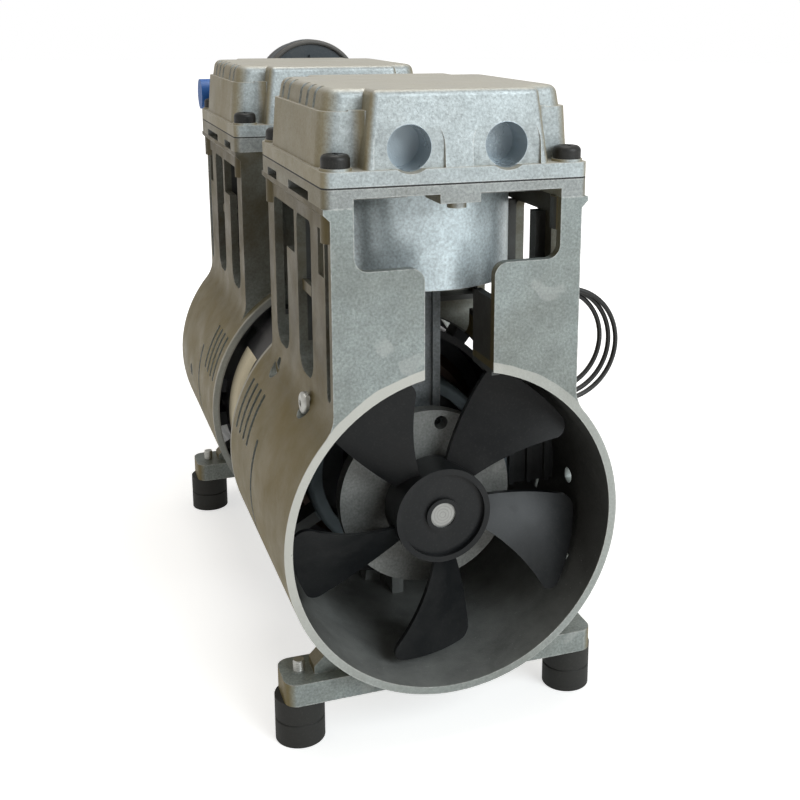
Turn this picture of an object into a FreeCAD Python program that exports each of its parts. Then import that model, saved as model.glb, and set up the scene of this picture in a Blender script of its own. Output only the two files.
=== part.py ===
import FreeCAD, Part
import math
import os
import re
import Sketcher

# Twin cylinder oil-less vacuum pump with an open motor frame.
# +Z is up, the shaft lies along Y and the pump's front fan faces -Y.
# The origin is on the floor, in the middle of the four feet.
# All sizes are in millimetres.

# Driving sizes

SIZES = {
    # Castings
    "half_length": 135.0,
    "tower_half_depth": 51.85,
    "deck_rise": 122.5,
    "tower_half_width": 46.2,
    "tower_wall": 3.5,
    "band_half_width": 48.5,
    "band_height": 4.0,
    "barrel_clearance": 1.5,
    "barrel_radius": 64.7,
    "barrel_wall": 3.0,
    "barrel_gap_half": 24.0,
    "flare_radius": 14.0,
    "passage_half_width": 30.0,
    "barrel_roof_clearance": 1.2,
    # Openings in the tower
    "window_half_width": 38.0,
    "window_drop": 21.9,
    "window_corner": 5.0,
    "slot_half_width": 13.0,
    "lip_wall": 3.0,
    "lip_depth": 17.5,
    "lip_drop": 1.4,
    "side_window_rise": 53.8,
    "side_window_drop": 8.7,
    "side_window_corner": 3.0,
    "side_window_toe": 8.0,
    "side_window_front": 5.0,
    "side_window_middle": 22.4,
    "side_window_step": 13.7,
    "side_window_rear": 23.0,
    "side_rib_front": 20.1,
    "side_fin": 5.6,
    "side_slot_inset": 9.9,
    "side_slot_length": 7.9,
    "side_step_drop": 25.2,
    "side_rib_rear": 4.3,
    "rib_depth": 4.0,
    "ledge_height": 4.0,
    "ledge_length": 30.0,
    "ledge_lap": 2.0,
    # Vents in the barrel's flanks
    "vent_width": 2.8,
    "vent_pitch": 7.7,
    "vent_inset": 8.0,
    "vent_angle": 20.0,
    "vent_start": 148.0,
    "long_vent_angle": 34.0,
    "long_vent_start": 161.0,
    "long_vent_inset": 65.0,
    # Screw pockets in the barrel's flanks
    "pocket_radius": 5.6,
    "pocket_proud": 0.92,
    "pocket_rise": 44.8,
    "pocket_front_inset": 34.2,
    "pocket_rear_inset": 86.0,
    "side_screw_radius": 2.5,
    "side_screw_head": 4.3,
    "side_screw_head_height": 2.6,
    "side_screw_length": 5.2,
    "hex_key": 2.5,
    "peep_hole_radius": 3.2,
    "peep_hole_inset": 36.3,
    # Bearing bulkhead
    "bulkhead_face": 50.0,
    "bulkhead_thickness": 5.0,
    "bearing_ring_outer": 40.0,
    "bearing_ring_inner": 34.0,
    "bearing_ring_length": 16.0,
    "bearing_boss_radius": 22.5,
    "bearing_boss_length": 14.0,
    "web_thickness": 5.0,
    "web_length": 10.0,
    "flank_web_inner": 33.0,
    "flank_web_height": 26.0,
    "flank_web_offset": 0.85,
    "flank_web_plate": 4.0,
    # Motor grip
    "tab_angle": 6.5,
    "tab_pitch": 16.5,
    "tab_pairs": 8.0,
    "tab_start": 128.0,
    "tab_length": 10.0,
    # Feet
    "foot_height": 18.0,
    "foot_radius": 9.5,
    "foot_half_spacing": 56.0,
    "foot_inset": 22.1,
    "foot_hole_radius": 2.6,
    "foot_hole_depth": 7.0,
    "foot_waist": 0.5,
    "pad_reach": 63.0,
    "pad_depth": 20.0,
    "pad_corner": 5.0,
    "pad_height": 9.0,
    "gusset_reach": 51.0,
    "gusset_height": 20.0,
    "gusset_slope": 8.0,
    "gusset_thickness": 9.0,
    "stud_radius": 2.0,
    "stud_length": 13.8,
    # Cylinder and valve plate
    "bore_radius": 34.0,
    "sleeve_wall": 2.5,
    "sleeve_length": 37.4,
    "sleeve_seat": 3.1,
    "seat_clearance": 0.05,
    "plate_thickness": 6.5,
    "plate_bridge": 3.2,
    "plate_corner": 3.5,
    "notch_depth": 5.5,
    "front_notch_start": 21.0,
    "front_notch_length": 32.0,
    "rear_notch_start": 74.0,
    "rear_notch_length": 17.0,
    "lug_half_width": 7.4,
    "lug_pin_radius": 3.4,
    "lug_pin_drop": 2.0,
    "valve_hole_radius": 3.2,
    "valve_hole_pitch": 9.0,
    "valve_hole_offset": 14.0,
    "gasket_thickness": 0.6,
    # Reed valves
    "reed_thickness": 0.4,
    "reed_width": 20.0,
    "reed_length": 30.0,
    "stop_thickness": 1.2,
    # Heads
    "head_flange": 5.2,
    "head_step": 24.0,
    "head_height": 31.5,
    "seat_depth": 11.5,
    "head_foot_half_width": 47.6,
    "head_step_half_width": 45.6,
    "head_top_half_width": 43.0,
    "head_shelf": 1.2,
    "head_top_inset": 13.5,
    "head_corner": 6.5,
    "head_edge": 3.5,
    "panel_foot_half_width": 34.4,
    "panel_top_half_width": 30.3,
    "panel_foot_inset": 0.6,
    "panel_top_inset": 3.6,
    "panel_edge": 2.5,
    "groove_radius": 1.7,
    "groove_first": 28.7,
    "groove_pitch": 10.4,
    "groove_gap": 19.4,
    "groove_lean": 20.0,
    "flute_radius": 4.5,
    "flute_centre": 36.4,
    "flute_inset": 7.0,
    "flute_height": 24.5,
    "port_half_spacing": 17.7,
    "port_height": 12.2,
    "port_radius": 7.8,
    "port_depth": 13.0,
    "port_lead": 1.2,
    "spot_radius": 12.6,
    "spot_inset": 2.4,
    "passage_radius": 4.5,
    "chamber_wall": 6.0,
    "chamber_divider": 4.0,
    "chamber_height": 22.0,
    "head_screw_inset": 6.0,
    "head_screw_radius": 2.5,
    "head_screw_head": 5.0,
    "head_screw_head_height": 4.6,
    "head_screw_length": 22.0,
    "screw_boss_radius": 5.5,
    "seat_land": 0.9,
    # Shaft and rotor
    "shaft_inset": 17.1,
    "fan_seat_radius": 5.0,
    "crank_seat_radius": 6.0,
    "bearing_seat_radius": 7.5,
    "rotor_seat_radius": 9.0,
    "rotor_radius": 26.6,
    "rotor_half_length": 26.0,
    "air_gap": 0.5,
    "motor_gap": 4.7,
    "stator_half_length": 26.0,
    "shell_wall": 3.0,
    "shell_half_length": 46.0,
    "winding_inner": 32.0,
    "winding_outer": 47.0,
    "winding_length": 12.0,
    "winding_round": 4.0,
    # Bearings
    "main_bearing_radius": 17.5,
    "main_bearing_width": 11.0,
    "bearing_shoulder": 2.0,
    "race_gap": 0.05,
    "race_wall": 4.6,
    "rod_bearing_radius": 20.0,
    "rod_bearing_width": 12.0,
    # Crank and rod
    "crank_throw": 4.0,
    "eccentric_radius": 12.5,
    "rod_eye_radius": 24.0,
    "rod_half_width": 9.5,
    "rod_thickness": 9.0,
    "rod_pocket": 2.5,
    "rod_flange": 3.0,
    "piston_clearance": 0.5,
    "piston_thickness": 6.0,
    "cup_thickness": 1.2,
    "cup_skirt": 4.5,
    "retainer_thickness": 2.0,
    "retainer_inset": 5.0,
    "top_clearance": 1.4,
    "piston_screw_radius": 3.0,
    "piston_screw_length": 14.0,
    "piston_screw_head": 5.5,
    "balance_radius": 35.0,
    "balance_thickness": 6.0,
    "balance_offset": 14.85,
    "balance_hole_radius": 2.8,
    "balance_hole_place": 29.4,
    "balance_step": 3.0,
    "balance_hole_side": 6.2,
    # Fans
    "hub_radius": 18.8,
    "hub_inset": 15.8,
    "hub_length": 15.2,
    "hub_lip": 2.2,
    "hub_recess": 2.0,
    "hub_boss_radius": 6.6,
    "blade_count": 5.0,
    "fan_clearance": 2.9,
    "blade_first": -23.5,
    "blade_half_angle": 19.5,
    "blade_root_angle": 15.0,
    "blade_sweep": 13.0,
    "blade_tip_slope": 0.31,
    "blade_root_slope": 0.75,
    "blade_tip_inset": 19.0,
    "blade_root_inset": 23.4,
    "blade_thickness": 1.9,
    "blade_corner": 5.0,
    # Intake filter and outlet cap on the rear head
    "filter_radius": 28.5,
    "filter_gap": 22.0,
    "filter_base": 8.0,
    "filter_length": 26.0,
    "filter_lip": 1.5,
    "filter_rib": 2.0,
    "nipple_bore": 5.0,
    "elbow_reach": 18.0,
    "elbow_radius": 7.0,
    "elbow_arm": 12.0,
    "elbow_wall": 2.0,
    "cap_radius": 8.0,
    "cap_length": 19.0,
    "cap_lap": 8.0,
    # Motor leads
    "grommet_radius": 5.5,
    "grommet_height": 5.0,
    "grommet_angle": 17.0,
    "lead_place": 15.0,
    "lead_radius": 1.2,
    "coil_outer": 30.0,
    "coil_inner": 18.0,
    "coil_thickness": 9.0,
    "lead_run": 11.2,
    "tail_run": 10.0,
    "tail_angle": -150.0,
    "plug_length": 18.0,
    "plug_width": 12.0,
}

# Sizes that are sums of others

SUMS = {
    "shaft_height": "foot_height + barrel_clearance + barrel_radius",
    "deck_height": "shaft_height + deck_rise",
    "tower_depth": "tower_half_depth + tower_half_depth",
    "window_sill": "deck_height - window_drop",
    "side_window_foot": "shaft_height + side_window_rise",
    "side_window_top": "deck_height - side_window_drop",
    "vent_first": "barrel_gap_half + vent_inset",
    "long_vent_place": "half_length - long_vent_inset",
    "pocket_height": "shaft_height + pocket_rise",
    "pocket_front": "half_length - pocket_front_inset",
    "pocket_rear": "half_length - pocket_rear_inset",
    "peep_hole_place": "half_length - peep_hole_inset",
    "flank_web_face": "half_length - tower_half_depth + flank_web_offset",
    "sleeve_foot": "deck_height + sleeve_seat - sleeve_length",
    "shaft_half_length": "half_length - shaft_inset",
    "stator_radius": "barrel_radius - barrel_wall - motor_gap - shell_wall",
    "balance_face": "half_length - tower_half_depth + balance_offset",
    "hub_face": "half_length - hub_inset",
    "hub_back": "hub_face - hub_length",
    "blade_tip_radius": "barrel_radius - barrel_wall - fan_clearance",
    "blade_tip_place": "half_length - blade_tip_inset",
    "blade_root_place": "half_length - blade_root_inset",
    "filter_face": "half_length + filter_gap",
}

doc = FreeCAD.newDocument("twin_vacuum_pump")
sheet = doc.addObject("Spreadsheet::Sheet", "Sizes")
for row, (alias, value) in enumerate(SIZES.items(), start=1):
    sheet.set(f"A{row}", alias)
    sheet.set(f"B{row}", str(value))
    sheet.setAlias(f"B{row}", alias)
doc.recompute()


class Values:
    """The sheet's numbers and their sums, read by name."""

    def __getattr__(self, alias):
        if alias not in SUMS:
            return float(sheet.get(alias))
        total, sign = 0.0, 1
        for word in SUMS[alias].split():
            if word in ("+", "-"):
                sign = 1 if word == "+" else -1
            else:
                total += sign * getattr(self, word)
        return total


size = Values()
nodes = {}

UP = FreeCAD.Rotation()
FORWARD = FreeCAD.Rotation(FreeCAD.Vector(1, 0, 0), 90)
RIGHT = FreeCAD.Rotation(FreeCAD.Vector(0, 1, 0), 90)
HALF_TURN = FreeCAD.Rotation(FreeCAD.Vector(0, 0, 1), 180)
REAR = FreeCAD.Placement(FreeCAD.Vector(), HALF_TURN)
OVERCUT = 1.0
FULL_TURN = 360.0


# Helpers

def bound(text):
    """Write a formula of sizes as an expression on the sheet."""
    def cell(word):
        name = word.group()
        if name in SUMS:
            return f"({bound(SUMS[name])})"
        return f"Sizes.{name}" if name in SIZES else name

    return re.sub(r"[a-z][a-z_]+", cell, text)


def put(shape, at, turn=UP):
    """Turn a primitive and bind its place to three formulas."""
    shape.Placement = FreeCAD.Placement(FreeCAD.Vector(), turn)
    for letter, text in zip("xyz", at):
        shape.setExpression(f".Placement.Base.{letter}", bound(text))
    return shape


def box(low, high):
    """A box between two corners."""
    solid = doc.addObject("Part::Box", "Block")
    for side, start, end in zip(("Length", "Width", "Height"), low, high):
        solid.setExpression(side, bound(f"({end}) - ({start})"))
    return put(solid, low)


def rod(radius, length, at, turn=UP):
    """A cylinder from its foot along its turned Z axis."""
    solid = doc.addObject("Part::Cylinder", "Round")
    solid.setExpression("Radius", bound(radius))
    solid.setExpression("Height", bound(length))
    return put(solid, at, turn)


def flared(radius, far_radius, length, at, turn=UP):
    """A cone from its foot along its turned Z axis."""
    solid = doc.addObject("Part::Cone", "Flare")
    solid.setExpression("Radius1", bound(radius))
    solid.setExpression("Radius2", bound(far_radius))
    solid.setExpression("Height", bound(length))
    return put(solid, at, turn)


def sector(radius, length, at, start, angle):
    """A slice of a cylinder about the shaft's axis, counted from +X towards +Z."""
    solid = rod(radius, length, at, FORWARD.multiply(FreeCAD.Rotation(FreeCAD.Vector(0, 0, 1), start)))
    solid.setExpression("Angle", bound(angle))
    return solid


def fuse(*solids):
    """Join solids into one."""
    whole = doc.addObject("Part::MultiFuse", "Joined")
    whole.Shapes = list(solids)
    whole.Refine = True
    return whole


def cut(base, *tools):
    """Take one or more tools away from a solid."""
    piece = doc.addObject("Part::Cut", "Trimmed")
    piece.Base = base
    piece.Tool = tools[0] if len(tools) == 1 else fuse(*tools)
    piece.Refine = True
    return piece


def common(base, tool):
    """Keep what two solids share."""
    piece = doc.addObject("Part::Common", "Shared")
    piece.Base = base
    piece.Tool = tool
    return piece


def eased(kind, base, radius, chosen):
    """Round or chamfer the edges of a solid that the test picks."""
    doc.recompute()
    piece = doc.addObject(kind, "Eased")
    piece.Base = base
    picked = [number for number, edge in enumerate(base.Shape.Edges, start=1) if chosen(edge)]
    piece.Edges = [(number, radius, radius) for number in picked]
    return piece


def rounded(base, radius, chosen):
    return eased("Part::Fillet", base, radius, chosen)


def chamfered(base, radius, chosen):
    return eased("Part::Chamfer", base, radius, chosen)


def runs_along(edge, letter):
    """True for a straight edge along one axis."""
    if not isinstance(edge.Curve, (Part.Line, Part.LineSegment)):
        return False
    return abs(getattr(edge.tangentAt(edge.FirstParameter), letter)) > 0.999


def near(first, second):
    return abs(first - second) < 0.02


def middle(edge):
    return edge.CenterOfMass


def keep(piece, label):
    """Name a finished piece as one node."""
    piece.Label = label
    nodes[label] = piece
    return piece


def keep_shape(shape, label, placement=FreeCAD.Placement()):
    """Name a shape made with Part's own functions as one node."""
    piece = doc.addObject("Part::Feature", "Piece")
    piece.Shape = shape
    piece.Placement = placement.multiply(piece.Placement)
    return keep(piece, label)


def twin(piece, label, placement=REAR):
    """The same piece again on the rear half, turned about Z."""
    copy = doc.addObject("Part::Compound", "Twin")
    copy.Links = [piece]
    copy.Placement = placement
    return keep(copy, label)


def turned(label, plane, axis, corners, at, turn=UP):
    """A turned body: a closed half outline swung about the sketch's own axis."""
    body = doc.addObject("PartDesign::Body", "Turned")
    drawing = outline(body, plane, corners)
    swing = body.newObject("PartDesign::Revolution", "Swing")
    swing.Profile = drawing
    swing.ReferenceAxis = (drawing, [axis])
    swing.Angle = FULL_TURN
    body.Tip = swing
    put(body, at, turn)
    return keep(body, label)


def outline(body, plane, corners):
    """A closed outline of straight lines whose corners are bound to the sheet."""
    drawing = body.newObject("Sketcher::SketchObject", "Outline")
    face = next(f for f in body.Origin.OriginFeatures if f.Role == plane)
    drawing.AttachmentSupport = [(face, "")]
    drawing.MapMode = "FlatFace"
    count = len(corners)
    spots = [FreeCAD.Vector(math.cos(math.tau * i / count), math.sin(math.tau * i / count), 0) for i in range(count)]
    for i in range(count):
        drawing.addGeometry(Part.LineSegment(spots[i], spots[(i + 1) % count]), False)
    for i in range(count):
        drawing.addConstraint(Sketcher.Constraint("Coincident", i, 2, (i + 1) % count, 1))
    for i, (across, along) in enumerate(corners):
        for kind, text, value in (("DistanceX", across, spots[i].x), ("DistanceY", along, spots[i].y)):
            number = drawing.addConstraint(Sketcher.Constraint(kind, -1, 1, i, 1, value))
            drawing.setExpression(f"Constraints[{number}]", bound(text))
    return drawing


def lathe(label, corners, at, turn=UP):
    """A turned body about its own Z axis, drawn as radius and height."""
    return turned(label, "XZ_Plane", "V_Axis", corners, at, turn)


def on_shaft(label, corners, drop="0"):
    """A turned body about the shaft's axis, drawn as place along Y and radius."""
    return turned(label, "YZ_Plane", "H_Axis", corners, ("0", "0", f"shaft_height - ({drop})"))


def pipe_corners(inner, outer, start, end):
    """The half outline of a plain ring on the shaft."""
    return [(start, inner), (end, inner), (end, outer), (start, outer)]


def ring_corners(inner, outer, foot, top):
    """The half outline of a plain upright ring."""
    return [(inner, foot), (outer, foot), (outer, top), (inner, top)]


def at_spots(source, spots):
    """Copies of a shape at several spots, as one group."""
    copies = []
    for spot in spots:
        copy = source.copy()
        copy.translate(FreeCAD.Vector(*spot))
        copies.append(copy)
    return Part.makeCompound(copies)


# Places that several pieces share

TOWER_BACK = "half_length - tower_depth"
TOWER_MID = "(half_length - tower_half_depth)"
SLEEVE_TOP = "(deck_height + sleeve_seat)"
PLATE_TOP = "(deck_height + plate_thickness)"
HEAD_FOOT = "(deck_height + plate_thickness + gasket_thickness)"
BORE = "(barrel_radius - barrel_wall)"
SHELL = "(stator_radius + shell_wall)"
SLEEVE_OUTER = "(bore_radius + sleeve_wall)"
PORT_FACE = "(half_length - spot_inset)"
POCKET_FLOOR = "(sqrt(barrel_radius ^ 2 - pocket_rise ^ 2) + pocket_proud)"

pocket_floor = math.sqrt(size.barrel_radius ** 2 - size.pocket_rise ** 2) + size.pocket_proud
head_foot = size.deck_height + size.plate_thickness + size.gasket_thickness
shell_radius = size.stator_radius + size.shell_wall
barrel_bore = size.barrel_radius - size.barrel_wall


# Crankcase casting

def crankcase_outside():
    """The solid outside of the casting: barrel, tower, band, foot bar and gussets."""
    barrel = rod("barrel_radius", "half_length - barrel_gap_half", ("0", "-barrel_gap_half", "shaft_height"), FORWARD)
    tower = box(("-tower_half_width", "-half_length", "shaft_height"),
                ("tower_half_width", f"-({TOWER_BACK})", "deck_height"))
    crease = size.shaft_height + math.sqrt(size.barrel_radius ** 2 - size.tower_half_width ** 2)

    def in_crease(edge):
        spot = middle(edge)
        return runs_along(edge, "y") and near(abs(spot.x), size.tower_half_width) and near(spot.z, crease)

    flared = rounded(fuse(barrel, tower), size.flare_radius, in_crease)
    band = box(("-band_half_width", "-half_length", "deck_height - band_height"),
               ("band_half_width", f"-({TOWER_BACK})", "deck_height"))
    overhang = size.band_half_width - size.tower_half_width
    band = chamfered(band, overhang, lambda edge: runs_along(edge, "y") and middle(edge).z < size.deck_height - OVERCUT)
    pad_front = "(half_length - foot_inset + pad_depth / 2)"
    bar = box(("-pad_reach", f"-{pad_front}", "foot_height"),
              ("pad_reach", f"pad_depth - {pad_front}", "foot_height + pad_height"))
    bar = rounded(bar, size.pad_corner, lambda edge: runs_along(edge, "z"))
    gusset = box(("-gusset_reach", "foot_inset - half_length - gusset_thickness / 2", "foot_height"),
                 ("gusset_reach", "foot_inset - half_length + gusset_thickness / 2", "foot_height + gusset_height"))
    top = size.foot_height + size.gusset_height
    gusset = chamfered(gusset, size.gusset_slope, lambda edge: runs_along(edge, "y") and near(middle(edge).z, top))
    return fuse(flared, band, bar, gusset)


def front_cutout():
    """The T-shaped opening in the tower's front wall, down to the barrel's mouth."""
    front = f"-half_length - {OVERCUT}"
    back = f"-half_length + tower_wall + {OVERCUT}"
    window = box(("-window_half_width", front, "window_sill"), ("window_half_width", back, f"deck_height + {OVERCUT}"))
    slot = box(("-slot_half_width", front, "shaft_height"), ("slot_half_width", back, f"window_sill + {OVERCUT}"))

    def at_sill(edge):
        return runs_along(edge, "y") and near(middle(edge).z, size.window_sill)

    return rounded(fuse(window, slot), size.window_corner, at_sill)


def side_windows():
    """Three tall openings through both side walls, between the ribs."""
    reach = f"band_half_width + {OVERCUT}"
    front = "half_length - tower_wall"
    openings = []
    for length, rib in (("side_window_front", "side_rib_front"),
                        ("side_window_middle", "(side_rib_rear + side_window_step)"), ("side_window_rear", "0")):
        hole = box((f"-({reach})", f"-({front})", "side_window_foot"),
                   (reach, f"{length} - ({front})", "side_window_top"))
        toe = min(size.side_window_toe, getattr(size, length) * 0.45)
        hole = rounded(hole, toe, lambda edge: runs_along(edge, "x") and near(middle(edge).z, size.side_window_foot))
        top = min(size.side_window_corner, toe)
        openings.append(rounded(hole, top,
                                lambda edge: runs_along(edge, "x") and near(middle(edge).z, size.side_window_top)))
        front = f"{front} - {length} - {rib}"
    step = "half_length - tower_wall - side_window_front - side_rib_front - side_window_middle - side_rib_rear"
    low = "deck_height - side_step_drop"
    openings.append(box((f"-({reach})", f"-({step})", low),
                        (reach, f"side_window_step + side_window_corner - ({step})", "side_window_top")))
    openings.append(box((f"-({reach})", "side_slot_inset - half_length", low),
                        (reach, "side_slot_inset + side_slot_length - half_length", "side_window_top")))
    return openings


def vents():
    """Four short slots and a long one round each flank of the barrel."""
    slots = []
    for mirror in (False, True):
        for number in range(4):
            place = f"-(vent_first + {number} * vent_pitch)"
            start = 180 - size.vent_start - size.vent_angle if mirror else size.vent_start
            slots.append(sector(f"barrel_radius + {OVERCUT}", "vent_width", ("0", place, "shaft_height"), start,
                                "vent_angle"))
        start = 180 - size.long_vent_start - size.long_vent_angle if mirror else size.long_vent_start
        slots.append(sector(f"barrel_radius + {OVERCUT}", "vent_width", ("0", "-long_vent_place", "shaft_height"),
                            start, "long_vent_angle"))
    return slots


def motor_tabs():
    """Pairs of lugs inside the barrel that grip the motor's shell."""
    tabs = []
    for pair in range(int(size.tab_pairs)):
        for side in (0, 1):
            start = size.tab_start + pair * FULL_TURN / size.tab_pairs + side * size.tab_pitch - size.tab_angle / 2
            tabs.append(sector(f"{BORE} + barrel_wall / 2", "tab_length", ("0", "tab_length - shell_half_length",
                                                                            "shaft_height"), start, "tab_angle"))
    core = rod(SHELL, f"tab_length + 2 * {OVERCUT}", ("0", f"tab_length - shell_half_length + {OVERCUT}",
                                                      "shaft_height"), FORWARD)
    return cut(fuse(*tabs), core)


def bulkhead():
    """The wall that carries the main bearing, with its ring and the webs out to the barrel."""
    face = ("0", "-bulkhead_face", "shaft_height")
    disc = rod("bearing_ring_inner + web_thickness / 2", "bulkhead_thickness", face, FORWARD)
    ring = cut(rod("bearing_ring_outer", "bearing_ring_length", face, FORWARD),
               rod("bearing_ring_inner", "bearing_ring_length", face, FORWARD))
    rim = size.web_thickness / 2
    front = -size.bulkhead_face - size.bearing_ring_length
    ring = rounded(ring, rim, lambda edge: near(middle(edge).y, front) and not runs_along(edge, "y")
                   and edge.BoundBox.XLength > 2 * size.bearing_ring_inner + rim)
    boss = rod("bearing_boss_radius", "bearing_boss_length", face, FORWARD)
    webs = []
    for angle in (-90, -30, 30, 90, 150, 210):
        web = box(("bearing_ring_outer - web_thickness / 2", "0", "-web_thickness / 2"),
                  (f"{BORE} + barrel_wall / 2", "web_length", "web_thickness / 2"))
        turn = FreeCAD.Rotation(FreeCAD.Vector(0, 1, 0), angle)
        spot = turn.multVec(FreeCAD.Vector(size.bearing_ring_outer - rim, 0, -rim))
        put(web, (str(spot.x), "-bulkhead_face - web_length", f"shaft_height + ({spot.z})"), turn)
        webs.append(web)
    solid = fuse(disc, ring, boss, *webs)
    seat = rod("main_bearing_radius", "bearing_boss_length",
               ("0", "-bulkhead_face - bearing_shoulder", "shaft_height"), FORWARD)
    eye = rod("main_bearing_radius - bearing_shoulder", "bearing_boss_length",
              ("0", f"-bulkhead_face + {OVERCUT}", "shaft_height"), FORWARD)
    return cut(solid, seat, eye)


def flank_web():
    """The ribbed wall beside the crank, on the casting's right."""
    low = "shaft_height - flank_web_height / 4"
    high = "shaft_height + flank_web_height * 3 / 4"
    plate = box(("flank_web_inner", "-flank_web_face", low), ("barrel_radius", "flank_web_plate - flank_web_face", high))
    ribs = []
    for share in (3, 6, 9):
        left = f"flank_web_inner + {share} * (barrel_radius - flank_web_inner) / 12"
        ribs.append(box((left, "-flank_web_face - flank_web_plate / 2", low),
                        (f"{left} + flank_web_plate / 2", "flank_web_plate - flank_web_face", high)))
    stay = box(("flank_web_inner + web_thickness", "-flank_web_face", "shaft_height - web_thickness / 2"),
               ("barrel_radius", "-bulkhead_face", "shaft_height + web_thickness / 2"))
    inside = rod(f"{BORE} + barrel_wall / 2", "half_length", ("0", "0", "shaft_height"), FORWARD)
    return common(fuse(plate, stay, *ribs), inside)


def tower_inside():
    """What stands inside the tower: slot lips, sleeve ledges and the fins behind the ribs."""
    parts = []
    front = "-half_length + tower_wall"
    lip_top = "sleeve_foot - lip_drop"
    inner = "tower_half_width - tower_wall"
    for sign in ("-", ""):
        flip = "-1" if sign else "1"

        def across(near_side, far_side, low, high):
            first, second = (far_side, near_side) if sign else (near_side, far_side)
            return box((f"{flip} * ({first})", low[0], low[1]), (f"{flip} * ({second})", high[0], high[1]))

        parts.append(across("slot_half_width", "slot_half_width + lip_wall",
                            (f"{front} - tower_wall / 2", f"shaft_height + {BORE} - barrel_wall"),
                            (f"{front} + lip_depth", lip_top)))
        parts.append(across(f"{SLEEVE_OUTER} - ledge_lap", f"{inner} + tower_wall / 2",
                            (f"-{TOWER_MID} - ledge_length / 2", "sleeve_foot - ledge_height"),
                            (f"-{TOWER_MID} + ledge_length / 2", "sleeve_foot")))
        rib = f"{front} + side_window_front + side_rib_front"
        for start, end in ((f"{rib} - side_fin", rib),
                           (f"{rib} + side_window_middle", f"{rib} + side_window_middle + side_rib_rear")):
            parts.append(across(f"{inner} - rib_depth", f"{inner} + tower_wall / 2", (start, "side_window_foot"),
                                (end, "side_window_top")))
    return parts


def crankcase():
    """One die-cast crankcase: fan shroud, crank chamber, bearing wall and cylinder tower in one piece."""
    inner = "tower_half_width - tower_wall"
    front = "-half_length + tower_wall"
    back = f"-({TOWER_BACK}) - tower_wall"
    roof = "shaft_height + barrel_radius + barrel_roof_clearance"
    bore = rod(BORE, f"half_length - barrel_gap_half + 2 * {OVERCUT}",
               ("0", f"{OVERCUT} - barrel_gap_half", "shaft_height"), FORWARD)
    chamber = box((f"-({inner})", front, roof), (inner, back, f"deck_height + {OVERCUT}"))
    passage = box(("-passage_half_width", front, "shaft_height"), ("passage_half_width", "-bulkhead_face", f"{roof} + {OVERCUT}"))
    shell = cut(crankcase_outside(), bore, chamber, passage, front_cutout(), *side_windows(), *vents())
    whole = fuse(shell, bulkhead(), motor_tabs(), flank_web(), *tower_inside())
    holes = []
    for place in ("pocket_front", "pocket_rear"):
        holes.append(rod("pocket_radius", "barrel_radius", (f"-{POCKET_FLOOR}", f"-{place}", "pocket_height"),
                         RIGHT.inverted()))
        holes.append(rod("side_screw_radius", "barrel_wall * 4",
                         (f"-({POCKET_FLOOR} - barrel_wall * 3)", f"-{place}", "pocket_height"), RIGHT.inverted()))
    peep = rod("peep_hole_radius", "barrel_wall * 4", (f"{BORE} - barrel_wall", "-peep_hole_place", "shaft_height"),
               RIGHT)
    studs = [rod("stud_radius", "gusset_height * 2", (f"{sign}foot_half_spacing", "foot_inset - half_length",
                                                      f"foot_height - {OVERCUT}"), UP) for sign in ("-", "")]
    sockets = []
    for sign in ("-", ""):
        for place in ("head_screw_inset - half_length", f"-({TOWER_BACK}) - head_screw_inset"):
            sockets.append((sign, place))
    bosses = [rod("screw_boss_radius", "band_height * 3", (f"{sign}(band_half_width - head_screw_inset)", place,
                                                           "deck_height - band_height * 3"), UP)
              for sign, place in sockets]
    taps = [rod("head_screw_radius", "band_height * 4", (f"{sign}(band_half_width - head_screw_inset)", place,
                                                         "deck_height - band_height * 2.5"), UP)
            for sign, place in sockets]
    inside = box(("-band_half_width", "-half_length", "foot_height"), ("band_half_width", f"-({TOWER_BACK})",
                                                                       "deck_height"))
    return cut(fuse(whole, common(fuse(*bosses), inside)), peep, *holes, *studs, *taps)


# Valve plate, gasket and head

def corner_spots():
    """The four head screws of the front tower."""
    across = size.band_half_width - size.head_screw_inset
    front = -size.half_length + size.head_screw_inset
    back = -(size.half_length - size.tower_depth) - size.head_screw_inset
    return [(sign * across, place) for sign in (-1, 1) for place in (front, back)]


def upright_holes(radius, foot, top):
    """Holes for the four head screws."""
    return [rod(radius, f"({top}) - ({foot})", (str(x), str(y), foot)) for x, y in corner_spots()]


def footprint(foot, top):
    """The block that the plate, gasket and head flange share in plan."""
    block = box(("-band_half_width", "-half_length", foot), ("band_half_width", f"-({TOWER_BACK})", top))
    return rounded(block, size.plate_corner, lambda edge: runs_along(edge, "z"))


def valve_holes(foot, top):
    """Two rows of gas holes through the plate, intake on +X and outlet on -X."""
    holes = []
    for sign in (-1, 1):
        for step in (-1, 0, 1):
            holes.append(rod("valve_hole_radius", f"({top}) - ({foot})",
                             (f"{sign} * valve_hole_offset", f"-{TOWER_MID} + {step} * valve_hole_pitch", foot)))
    return holes


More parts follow.
